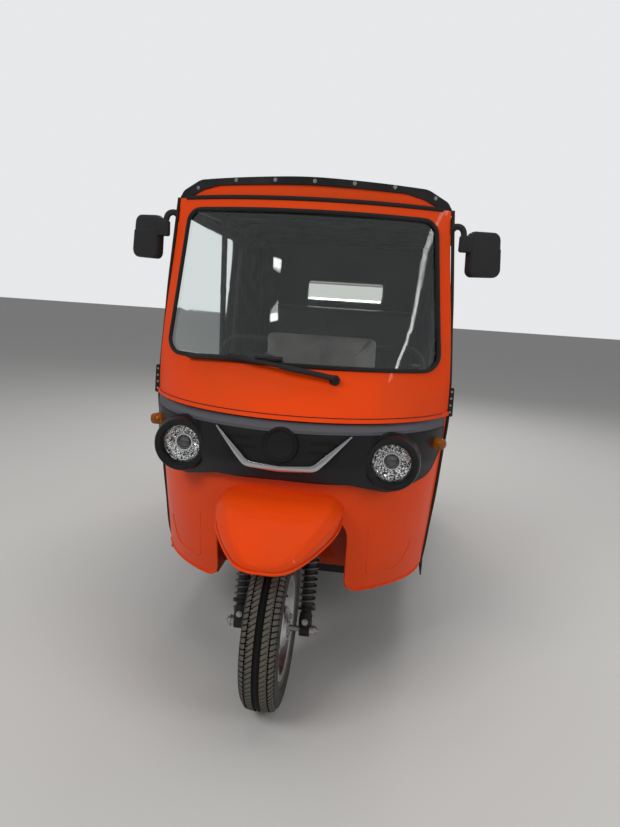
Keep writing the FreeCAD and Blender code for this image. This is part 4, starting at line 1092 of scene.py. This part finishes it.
def makeHood():
    shape = bmesh.new()
    low, high = hood["front"] - 0.12, hood["rear"]
    blockShape((-1, low, hood["waist"] - 0.15), (1, high, hood["top"]), 0, 1, shape)
    # Rounded where the roof, the sides and the back meet
    bends = [edge for edge in shape.edges if sum(v.co.z > 1.7 or v.co.y > 2.2 for v in edge.verts) == 2
             and not all(v.co.y < 0.4 for v in edge.verts) and not all(v.co.z < 1 for v in edge.verts)]
    bends = [edge for edge in bends if len({tuple(round(c, 3) for c in f.normal) for f in edge.link_faces}) == 2]
    moveIn(shape, Matrix.Diagonal((hood["tail"], 1, 1, 1)))
    softened(shape, bends, hood["bend"], 7, False)
    moveIn(shape, Matrix.Diagonal((1 / hood["tail"], 1, 1, 1)))
    cutLines(shape, "y", stations(hood["front"], 2.16, 0.035) + [hood["front"], hood["entryEnd"]])
    cutLines(shape, "z", stations(hood["waist"], 1.62, 0.035) + [hood["waist"], hood["entryTop"], *hood["window"][1:]])
    cutLines(shape, "x", [x / 0.6 for x in stations(-0.48, 0.48, 0.04)] + [-0.4362, 0.4362])
    dropFaces(shape, lambda c: c.y < hood["front"] or c.z < hood["waist"])
    dropFaces(shape, lambda c: c.y < hood["entryEnd"] and c.z < hood["entryTop"])
    for vert in shape.verts:
        vert.co = hoodPoint(*vert.co)
    outwards(shape)
    width, base, top = hood["window"]

    def inPane(c):
        return c.y > axleY + wheelbase and abs(c.x) < width and base < c.z < top

    window = shape.copy()
    dropFaces(window, lambda c: not inPane(c))
    dropFaces(shape, inPane)
    area = sum(face.calc_area() for face in shape.faces)
    sheet = finished("hoodCanopy", shape, hoodVinyl, instead=["hood"], sharp=80)
    addModifier(sheet, "SOLIDIFY", thickness=hood["cloth"], offset=-1)
    addModifier(sheet, "SUBSURF", levels=1, render_levels=1)
    clear = finished("rearPane", window, softWindow, instead=["rear_window"], sharp=80)
    addModifier(clear, "SOLIDIFY", thickness=hood["film"], offset=1)
    return sheet, clear, area


canopy, rearPane, canopyArea = makeHood()


def hoodTrim():
    # Sewn bindings and piping of the canopy, with snaps along the waist
    shape = bmesh.new()
    snap = [(0.0085, -0.002), (0.0085, 0.0018), (0.006, 0.0038), (0, 0.0046)]
    for side in (-1, 1):
        top = [hoodPoint(side, 0.43 + (1.39 - 0.43) * k / 14, 1.612) for k in range(15)]
        bend = [hoodPoint(side, 1.425, 1.608), hoodPoint(side, 1.443, 1.59), hoodPoint(side, 1.45, 1.56)]
        down = [hoodPoint(side, 1.45, 1.52 - 0.6 * k / 10) for k in range(11)]
        swept(shape, top + bend + down, 0.0062, ring=3, resolution=3)
        # Piping where the roof joins the sides and round the back
        roofLine = [hoodPoint(side * 0.985, 0.43 + 1.65 * k / 26, 1.655) for k in range(27)]
        swept(shape, [p + Vector((side * 0.002, 0, 0)) for p in roofLine], 0.0042, ring=2, resolution=2)
        waist = [hoodPoint(side, 1.455 + 0.68 * k / 12, 0.93) + Vector((side * 0.002, 0, 0)) for k in range(13)]
        swept(shape, waist, 0.005, ring=2, resolution=2)
        for k in range(6):
            spot = hoodPoint(side, 1.5 + 0.6 * k / 5, 0.955)
            turnedShape(snap, 18, shape, spot, (side, 0, 0), 1)
    width, base, top = hood["window"]
    ring = []
    for p in roundedLine([(-width, base, 0.018), (width, base, 0.018), (width, top, 0.018), (-width, top, 0.018)], 4):
        ring.append(hoodPoint(p.x / 0.55, hood["rear"], p.y) + Vector((0, 0.001, 0)))
    swept(shape, ring, 0.0065, closed=True, ring=2, resolution=3)
    for x in (-0.4, -0.24, -0.08, 0.08, 0.24, 0.4):
        spot = hoodPoint(x / 0.6, hood["rear"], 0.955)
        turnedShape(snap, 18, shape, spot, (0, 1, 0.15), 1)
    return finished("hoodTrim", shape, [blackRubber, plainSteel])


trim = hoodTrim()
print("canopy area", round(canopyArea, 3))
print("hood made")


# Seats
padding = {"corner": 0.035, "frames": 20,
           "cloth": {"quality": 4, "mass": 0.25, "tension_stiffness": 12, "compression_stiffness": 12,
                     "bending_stiffness": 0.6, "use_pressure": True, "uniform_pressure_force": 4.0,
                     "vertex_group_mass": "sewn"}}


def swollen(name, low, high, seams, cap, material, node, voxel=0.008, facing="z"):
    # Upholstered pad: rounded block, remeshed, blown up by cloth pressure between its sewn lines
    shape = bmesh.new()
    blockShape(low, high, padding["corner"], 4, shape)
    outwards(shape)
    mesh = bpy.data.meshes.new(name)
    shape.to_mesh(mesh)
    shape.free()
    pad = inScene(name, mesh)
    addModifier(pad, "REMESH", mode="VOXEL", voxel_size=voxel * 1)
    graph = bpy.context.evaluated_depsgraph_get()
    dense = bpy.data.meshes.new_from_object(pad.evaluated_get(graph))
    pad.modifiers.clear()
    pad.data = dense
    before = [vert.co.copy() for vert in dense.vertices]
    pins = pad.vertex_groups.new(name="sewn")
    for vert in dense.vertices:
        if facing == "z":
            held = vert.co.z < low[2] + 0.012
            onFace = vert.co.z > high[2] - 0.02
        else:
            held = vert.co.y > high[1] - 0.01
            onFace = vert.co.y < low[1] + 0.02
        line = any(abs(vert.co[axis] - place) < voxel * 0.6 for axis, place in seams) and onFace
        if held or line:
            pins.add([vert.index], 1.0, "REPLACE")
    cloth = pad.modifiers.new("cloth", "CLOTH")
    for key, value in padding["cloth"].items():
        setattr(cloth.settings, key, value)
    cloth.settings.effector_weights.gravity = 0
    cloth.collision_settings.use_collision = False
    cloth.point_cache.frame_start = 1
    cloth.point_cache.frame_end = padding["frames"]
    for step in range(1, padding["frames"] + 1):
        bpy.context.scene.frame_set(step)
    graph = bpy.context.evaluated_depsgraph_get()
    blown = bpy.data.meshes.new_from_object(pad.evaluated_get(graph))
    pad.modifiers.clear()
    for vert, start in zip(blown.vertices, before):
        move = vert.co - start
        if move.length > cap:
            vert.co = start + move.normalized() * cap
    pad.data = blown
    bpy.context.scene.frame_set(1)
    pad.data.materials.clear()
    pad.data.materials.append(material)
    for face in pad.data.polygons:
        face.use_smooth = True
    addModifier(pad, "SUBSURF", levels=1, render_levels=1)
    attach(pad, "body")
    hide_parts(node)


def fromAxle(along):
    return axleY + along


swollen("driverCushion", (-0.245, fromAxle(0.495), 0.592), (0.245, fromAxle(0.885), 0.668), [(0, 0.0)], 0.024,
        seatVinyl, "driver_seat", 0.007)
swollen("driverBack", (-0.25, fromAxle(0.912), 0.785), (0.25, fromAxle(0.967), 1.155), [(0, 0.0)], 0.022, wrappedVinyl,
        "driver_backrest", 0.007, facing="y")
benchSeams = [(0, x) for x in (-0.3, -0.1, 0.1, 0.3)]
swollen("benchCushion", (-0.44, fromAxle(1.485), 0.652), (0.44, fromAxle(1.97), 0.738),
        benchSeams + [(1, fromAxle(1.66))], 0.026, seatVinyl, "passenger_seat")
swollen("benchBack", (-0.455, fromAxle(2.0), 0.68), (0.455, fromAxle(2.085), 1.27), benchSeams + [(2, 1.08)],
        0.024, seatVinyl, "passenger_backrest", facing="y")
print("seats made")


# Fittings made from simple parts
def assembled(name, parts, materials, body="body", instead=(), bothSides=False):
    # One piece from a list of (kind, material number, numbers...), measured from the front axle
    shape = bmesh.new()
    for kind, material, *numbers in parts:
        if kind == "block":
            blockShape(numbers[0], numbers[1], numbers[2] if len(numbers) > 2 else 0.0015, 2, shape, material)
        elif kind == "rod":
            swept(shape, numbers[0], numbers[1], material, ring=3, resolution=4)
        elif kind == "bolt":
            hexHead(numbers[0], numbers[0] * 0.8, numbers[1], numbers[2], shape, material)
        elif kind == "rivet":
            domeHead(numbers[0], numbers[0] * 0.6, numbers[1], numbers[2], shape, material)
        else:
            turnedShape(numbers[0], 36, shape, numbers[1], numbers[2], material)
    if bothSides:
        mirrorAdded(shape)
    moveIn(shape, Matrix.Translation((0, axleY, 0)))
    finished(name, shape, materials, body, instead)


# Rear lamps: black housing, red and amber parts over a reflector
assembled("tailHousing", [
    ("block", 0, (0.425, 2.2946, 0.64), (0.515, 2.306, 0.8), 0.004),
    ("block", 1, (0.431, 2.305, 0.648), (0.509, 2.3075, 0.792), 0.001),
], [blackPlastic, chrome], instead=["tail_lamps"], bothSides=True)
assembled("tailRed", [
    ("block", 0, (0.429, 2.307, 0.703), (0.511, 2.327, 0.796), 0.005),
    ("turned", 0, [(0, 0), (0.024, 0), (0.024, 0.003), (0.02, 0.005), (0, 0.005)], (0.565, rearFace, 0.48), (0, 1, 0)),
], redLens, bothSides=True)
assembled("tailAmber", [
    ("block", 0, (0.429, 2.307, 0.644), (0.511, 2.326, 0.7015), 0.005),
], amberLens, bothSides=True)

# Blank number plate, lid louvres and latch
assembled("numberPlate", [
    ("block", 0, (-0.165, 2.2946, 0.414), (0.165, 2.2966, 0.514), 0.0008),
    ("bolt", 1, 0.006, (-0.09, 2.2966, 0.465), (0, 1, 0)),
    ("bolt", 1, 0.006, (0.09, 2.2966, 0.465), (0, 1, 0)),
], [plateWhite, plainSteel])
louvres = [("rod", 0, [(-0.205, 2.302, z), (0.205, 2.302, z)], 0.0075) for z in stations(0.622, 0.765, 0.028)]
latch = [("turned", 1, [(0, 0), (0.026, 0), (0.026, 0.004), (0.022, 0.007), (0, 0.008)], (0, rearFace, 0.553),
          (0, 1, 0)),
         ("block", 1, (-0.034, 2.3015, 0.548), (0.034, 2.313, 0.558), 0.003)]
assembled("lidLouvres", louvres + latch, [orangePaint, blackPaint], "engine_lid")


def makePanelEdges():
    # Rolled edges of the front panel's lobes, the wheel arches and the rear panel, with the waist's drip rail
    shape = bmesh.new()
    half, base, widest = 0.22, 0.345, 0.489
    lobe = [(0, 0.64), (half, 0.64, 0.09), (half, base, 0.045), (widest, base, 0.06), (0.56, 0.7), (0, 0.9)]
    line = [p for p in roundedLine(lobe, 8) if p.x < 0.4865 and p.y < 0.66]
    knots = []
    for near, far in zip(line, line[1:]):
        count = max(1, round((far - near).length / 0.02))
        knots += [near.lerp(far, k / count) for k in range(count)]

    def onPanel(points, lift):
        return [Vector((p.x, levelSurface(lowerLevels, p.x, max(p.y, base + 0.001)) - lift, p.y)) for p in points]

    swept(shape, onPanel(knots, 0.0005), 0.0042, ring=2, resolution=1)
    crease = roundedLine([(0.286, 0.575), (0.289, 0.403, 0.02), (0.402, 0.403, 0.05), (0.43, 0.48), (0.432, 0.5)], 6)
    swept(shape, onPanel(crease, 0.0012), 0.0042, ring=2, resolution=2)
    arch = []
    for k in range(25):
        angle = math.radians(28.5 + 123 * k / 24)
        arch.append(Vector((0.614, axleY + wheelbase - 0.3 * math.cos(angle), axleZ + 0.3 * math.sin(angle))))
    swept(shape, arch, 0.0055, ring=3, resolution=2)
    for ends in (((0.6145, 1.404, 0.4025), (0.6145, 1.733, 0.4025)), ((0.6145, 2.267, 0.4025), (0.6145, 2.288, 0.4025)),
                 ((0.6015, 1.404, 0.919), (0.6015, 2.29, 0.919)), ((0.474, 1.402, 0.919), (0.6, 1.402, 0.919))):
        swept(shape, [Vector((x, axleY + y, z)) for x, y, z in ends], 0.0045, smooth=False, ring=2)
    mirrorAdded(shape)
    finished("panelEdges", shape, orangePaint)


makePanelEdges()

# Floor: ribbed mats, edge strips, the foot brake and the parking brake lever
ribs = [("block", 0, (x, 0.935, floorTop), (x + 0.012, 1.47, 0.3585), 0.001) for x in stations(-0.45, 0.44, 0.026)]
ribs += [("block", 0, (x, 0.345, floorTop), (x + 0.012, 0.478, 0.3585), 0.001) for x in stations(-0.4, 0.39, 0.026)]
assembled("floorRibs", ribs, floorRubber)
assembled("sillStrips", [("block", 0, (0.47, 0.45, floorTop), (0.502, 1.555, 0.357), 0.001)]
          + [("rivet", 1, 0.005, (0.486, y, 0.357), (0, 0, 1)) for y in stations(0.5, 1.5, 0.125)],
          [castAlloy, plainSteel], bothSides=True)
assembled("footControls", [
    ("rod", 0, [(-0.15, 0.47, 0.362), (-0.15, 0.42, 0.385), (-0.15, 0.385, 0.43)], 0.007),
    ("block", 1, (-0.195, 0.372, 0.42), (-0.105, 0.39, 0.462), 0.004),
    ("block", 0, (-0.168, 0.455, 0.3545), (-0.132, 0.49, 0.372), 0.003),
    ("rod", 0, [(-0.262, 0.64, 0.356), (-0.262, 0.56, 0.47), (-0.262, 0.52, 0.54)], 0.007),
    ("rod", 1, [(-0.262, 0.545, 0.498), (-0.262, 0.512, 0.556)], 0.0135),
    ("block", 0, (-0.28, 0.6, 0.3545), (-0.244, 0.68, 0.38), 0.004),
], [blackPaint, blackRubber])

# Instrument on the shelf: pod, blank dial, key switch and two warning lamps
facing = (0, 0.78, 0.62)
assembled("instrument", [
    ("turned", 0, [(0, -0.035), (0.04, -0.03), (0.05, 0.0), (0.0505, 0.01), (0.0455, 0.01), (0.0445, 0.002),
                   (0, 0.002)], (0, 0.112, 0.915), facing),
    ("turned", 1, [(0, 0.0024), (0.044, 0.0024)], (0, 0.112, 0.915), facing),
    ("turned", 0, [(0, 0.0026), (0.006, 0.0026), (0.005, 0.006), (0, 0.006)], (0, 0.112, 0.915), facing),
    ("block", 0, (-0.05, 0.08, 0.8602), (0.05, 0.145, 0.888), 0.006),
    ("turned", 2, [(0, 0), (0.013, 0), (0.013, 0.006), (0.01, 0.008), (0, 0.008)], (0.095, 0.13, 0.8602), (0, 0.3, 1)),
    ("block", 0, (-0.135, 0.1, 0.8602), (-0.075, 0.14, 0.872), 0.003),
    ("rivet", 3, 0.006, (-0.12, 0.12, 0.872), (0, 0, 1)),
    ("rivet", 4, 0.006, (-0.092, 0.12, 0.872), (0, 0, 1)),
], [softBlack, dialWhite, plainSteel, amberLens, redLens])


def makeGrips():
    # Ribbed grips, levers, switch pods and cables on the handlebar
    shape = bmesh.new()
    elbow, tip = Vector((0.205, 0.079, 0.8)), Vector((0.3, 0.204, 0.818))
    along = (tip - elbow).normalized()
    start = elbow.lerp(tip, 0.36)
    ribbed = [(0.012, -0.004), (0.022, -0.003), (0.022, 0.003)]
    for k in range(12):
        ribbed += [(0.0182, 0.005 + k * 0.0078), (0.0182, 0.008 + k * 0.0078), (0.017, 0.0095 + k * 0.0078)]
    ribbed += [(0.0185, 0.1005), (0.0175, 0.1035), (0, 0.1045)]
    turnedShape(ribbed, 28, shape, start, along, 0)
    blockAt = elbow.lerp(tip, 0.16)
    turnedShape([(0.012, -0.016), (0.0215, -0.014), (0.0215, 0.014), (0.012, 0.016)], 24, shape, blockAt, along, 1)
    lever = [blockAt + Vector((0.0, -0.026, 0.002)), blockAt + along * 0.02 + Vector((0.004, -0.04, 0.0)),
             blockAt + along * 0.075 + Vector((0.014, -0.042, -0.004)),
             blockAt + along * 0.13 + Vector((0.02, -0.032, -0.006))]
    swept(shape, lever, 0.0055, 2, ring=2, resolution=4)
    swept(shape, [blockAt, blockAt + Vector((0.0, -0.028, 0.002))], 0.009, 1, smooth=False, ring=2)
    cable = [blockAt + Vector((-0.004, -0.032, 0.0)), Vector((0.13, 0.03, 0.77)), Vector((0.06, 0.022, 0.72)),
             Vector((0.03, 0.034, 0.65))]
    swept(shape, cable, 0.0038, 0, ring=2, resolution=8)
    mirrorAdded(shape)
    moveIn(shape, leanedFork)
    finished("gripsAndLevers", shape, [blackRubber, softBlack, plainSteel], "steering")


makeGrips()


def makeShocks():
    # Rear shock absorbers: damper, open coil, spring seats and bolts
    shape = bmesh.new()
    for side in (-1, 1):
        foot = Vector((side * 0.441, axleY + 1.92, 0.3313))
        turnedShape([(0, 0), (0.014, 0), (0.014, 0.03), (0.027, 0.034), (0.027, 0.04), (0.0195, 0.044), (0.0195, 0.15),
                     (0.01, 0.154),
                     (0.01, 0.216), (0.027, 0.22), (0.027, 0.226), (0.014, 0.23), (0.014, 0.2684), (0, 0.2684)], 32,
                     shape, foot, (0, 0, 1), 0)
        coilShape(shape, 0.0235, 0.0042, 9, 0.176, foot + Vector((0, 0, 0.042)), 1)
    finished("shockAbsorbers", shape, [blackPaint, springSteel], instead=["rear_shocks"], sharp=50)


makeShocks()

# Engine: cooling fins, side covers with bolts, a drain plug; clamps of the silencer and its pipe's end ring
fins = [("block", 0, (-0.154, 1.835 + k * 0.014, 0.33), (0.154, 1.84 + k * 0.014, 0.524), 0.001) for k in range(12)]
covers = [("turned", 0, [(0, 0), (0.088, 0), (0.09, 0.006), (0.07, 0.012), (0.052, 0.012), (0.05, 0.006), (0, 0.006)],
           (side * 0.168, 2.0, 0.288), (side, 0, 0)) for side in (-1, 1)]
covers += [("bolt", 1, 0.006, (side * 0.176, 2.0 + 0.078 * math.cos(a), 0.288 + 0.078 * math.sin(a)), (side, 0, 0))
           for side in (-1, 1) for a in (0.5, 1.55, 2.6, 3.65, 4.7, 5.75)]
assembled("engineDetails", fins + covers + [("bolt", 1, 0.011, (0, 2.0, 0.193), (0, 0, -1))], [castAlloy, plainSteel])
assembled("silencerFittings", [("turned", 0, [(0.0552, 0), (0.058, 0.001), (0.058, 0.024), (0.0552, 0.025)],
                                (x, 2.247, 0.243), (1, 0, 0)) for x in (-0.02, 0.075, 0.19)]
          + [("turned", 1, [(0.0145, 0), (0.0165, 0.0), (0.0165, 0.012), (0.0145, 0.012)], (0.18, 2.326, 0.2158),
              (0, 1, -0.12))],
          [exhaustSteel, plainSteel])
for side, label in ((-1, "right"), (1, "left")):
    # Ribbed rubber boot of each drive shaft
    boot = [(0.0145, 0.0), (0.039, 0.002)]
    for k in range(5):
        boot += [(0.0385 - k * 0.0035, 0.01 + k * 0.012), (0.033 - k * 0.0035, 0.016 + k * 0.012)]
    boot += [(0.0175, 0.068), (0.0145, 0.07)]
    assembled("shaftBoot_" + label, [("turned", 0, boot, (side * 0.25, wheelbase, axleZ), (side, 0, 0))], blackRubber,
              "rear_wheel_" + label)


def makeWheelTrim(name, body, centre, side):
    # Lug bolts, hub cap and the tyre valve of one wheel
    shape = bmesh.new()
    front = body == "front_wheel"
    face = 0.055 if front else 0.048
    for outward in ((-1, 1) if front else (side,)):
        axis = (outward, 0, 0)
        for k in range(4):
            angle = math.pi / 4 + k * math.pi / 2
            hexHead(0.0085, 0.007, (outward * (face - 0.001), 0.036 * math.cos(angle), 0.036 * math.sin(angle)), axis,
                    shape, 1)
        if not front:
            turnedShape([(0.022, 0), (0.022, 0.01), (0.018, 0.016), (0.01, 0.019), (0, 0.02)], 32, shape,
                        (outward * (face + 0.012), 0, 0), axis, 2)
    valve = [(side * 0.03, 0, 0.131), (side * 0.04, 0, 0.112), (side * 0.046, 0, 0.106)]
    swept(shape, valve, 0.0035, 3, ring=2)
    moveIn(shape, Matrix.Translation(centre))
    finished(name, shape, [wheelAlloy, plainSteel, blackPlastic, blackRubber], body)


for body, x, side in (("front_wheel", 0, 1), ("rear_wheel_left", 0.545, 1), ("rear_wheel_right", -0.545, -1)):
    makeWheelTrim(body + "Trim", body, (x, axleY + (wheelbase if x else 0), axleZ), side)

# Rivets of the front hoop and the rear panel, bolts of the bumper
assembled("bodyRivets", [
    ("rivet", 0, 0.004, (0.476, 0.404, 1.56), (1, 0, 0)),
    ("rivet", 0, 0.004, (0.479, 0.404, 1.5), (1, 0, 0)),
    ("bolt", 0, 0.007, (0.3, 2.3165, 0.345), (0, 1, 0)),
    ("rivet", 0, 0.005, (0.52, rearFace, 0.88), (0, 1, 0)),
    ("rivet", 0, 0.005, (0.4, rearFace, 0.895), (0, 1, 0)),
    ("rivet", 0, 0.005, (0.59, rearFace, 0.44), (0, 1, 0)),
], plainSteel, bothSides=True)
print("fittings made")


# Studio, lamps and camera
def makeStudio():
    floor = bmesh.new()
    bmesh.ops.create_grid(floor, x_segments=1, y_segments=1, size=40)
    mesh = bpy.data.meshes.new("floor")
    floor.to_mesh(mesh)
    floor.free()
    mesh.materials.append(newMaterial("paleFloor", (0.52, 0.51, 0.49), 0.8))
    inScene("floor", mesh)

    world = bpy.data.worlds.new("studio")
    bpy.context.scene.world = world
    world.use_nodes = True
    tree = world.node_tree
    light = tree.nodes["Background"]
    setInputs(light, {"Color": (0.95, 0.97, 1.0, 1), "Strength": 0.34})
    seen = tree.nodes.new("ShaderNodeBackground")
    setInputs(seen, {"Color": (0.8, 0.81, 0.82, 1), "Strength": 1.0})
    ray = tree.nodes.new("ShaderNodeLightPath")
    either = tree.nodes.new("ShaderNodeMath")
    either.operation = "MAXIMUM"
    mix = tree.nodes.new("ShaderNodeMixShader")
    for output, socket in (
        (ray.outputs["Is Camera Ray"], either.inputs[0]), (ray.outputs["Is Transmission Ray"], either.inputs[1]),
        (either.outputs[0], mix.inputs["Fac"]), (light.outputs[0], mix.inputs[1]), (seen.outputs[0], mix.inputs[2]),
        (mix.outputs[0], tree.nodes["World Output"].inputs["Surface"]),
    ):
        tree.links.new(output, socket)

    for name, spot, aim, size, power, glint in (
        ("keyLamp", (-2.6, -4.2, 4.2), (0, 0, 0.9), (2.6, 1.8), 134, False),
        ("fillLamp", (3.8, -3.0, 2.6), (0, 0, 0.8), (2.4, 2.4), 57, False),
        ("backLamp", (0.5, 4.4, 3.8), (0, 0.6, 0.9), (3.0, 2.0), 100, True),
        ("topLamp", (0, 0, 5.2), (0, 0, 0), (3.5, 3.5), 90, False),
        ("tubeLamp", (3.8, -2.9, 2.3), (0.4, -0.85, 1.3), (0.12, 2.2), 7, True),
        ("paneLamp", (-1.7, -4.6, 3.2), (0, -1.1, 0.8), (0.34, 0.15), 3, True),
    ):
        lamp = bpy.data.lights.new(name, "AREA")
        lamp.shape = "RECTANGLE"
        lamp.size, lamp.size_y = size
        lamp.energy = power
        holder = inScene(name, lamp)
        holder.location = spot
        holder.rotation_euler = (Vector(aim) - Vector(spot)).to_track_quat("-Z", "Y").to_euler()
        holder.visible_glossy = holder.visible_transmission = glint


view = {"spot": (0.292, -2.879, 1.311), "yaw": -6.6, "pitch": 10.47, "roll": 3.76, "focalPixels": 618, "tall": 827}


def makeCamera():
    yaw, pitch, roll = (math.radians(view[key]) for key in ("yaw", "pitch", "roll"))
    ahead = Vector((math.sin(yaw) * math.cos(pitch), math.cos(yaw) * math.cos(pitch), -math.sin(pitch)))
    right = Vector((math.cos(yaw), -math.sin(yaw), 0))
    up = right.cross(ahead)
    rolledRight = right * math.cos(roll) + up * math.sin(roll)
    rolledUp = up * math.cos(roll) - right * math.sin(roll)
    data = bpy.data.cameras.new("camera")
    data.sensor_width = 36
    data.lens = view["focalPixels"] * data.sensor_width / view["tall"]
    camera = inScene("camera", data)
    turn = Matrix((rolledRight, rolledUp, -ahead)).transposed()
    camera.matrix_world = Matrix.Translation(view["spot"]) @ turn.to_4x4()
    bpy.context.scene.camera = camera


makeStudio()
makeCamera()
bpy.context.scene.view_settings.view_transform = "Standard"

print("scene finished")
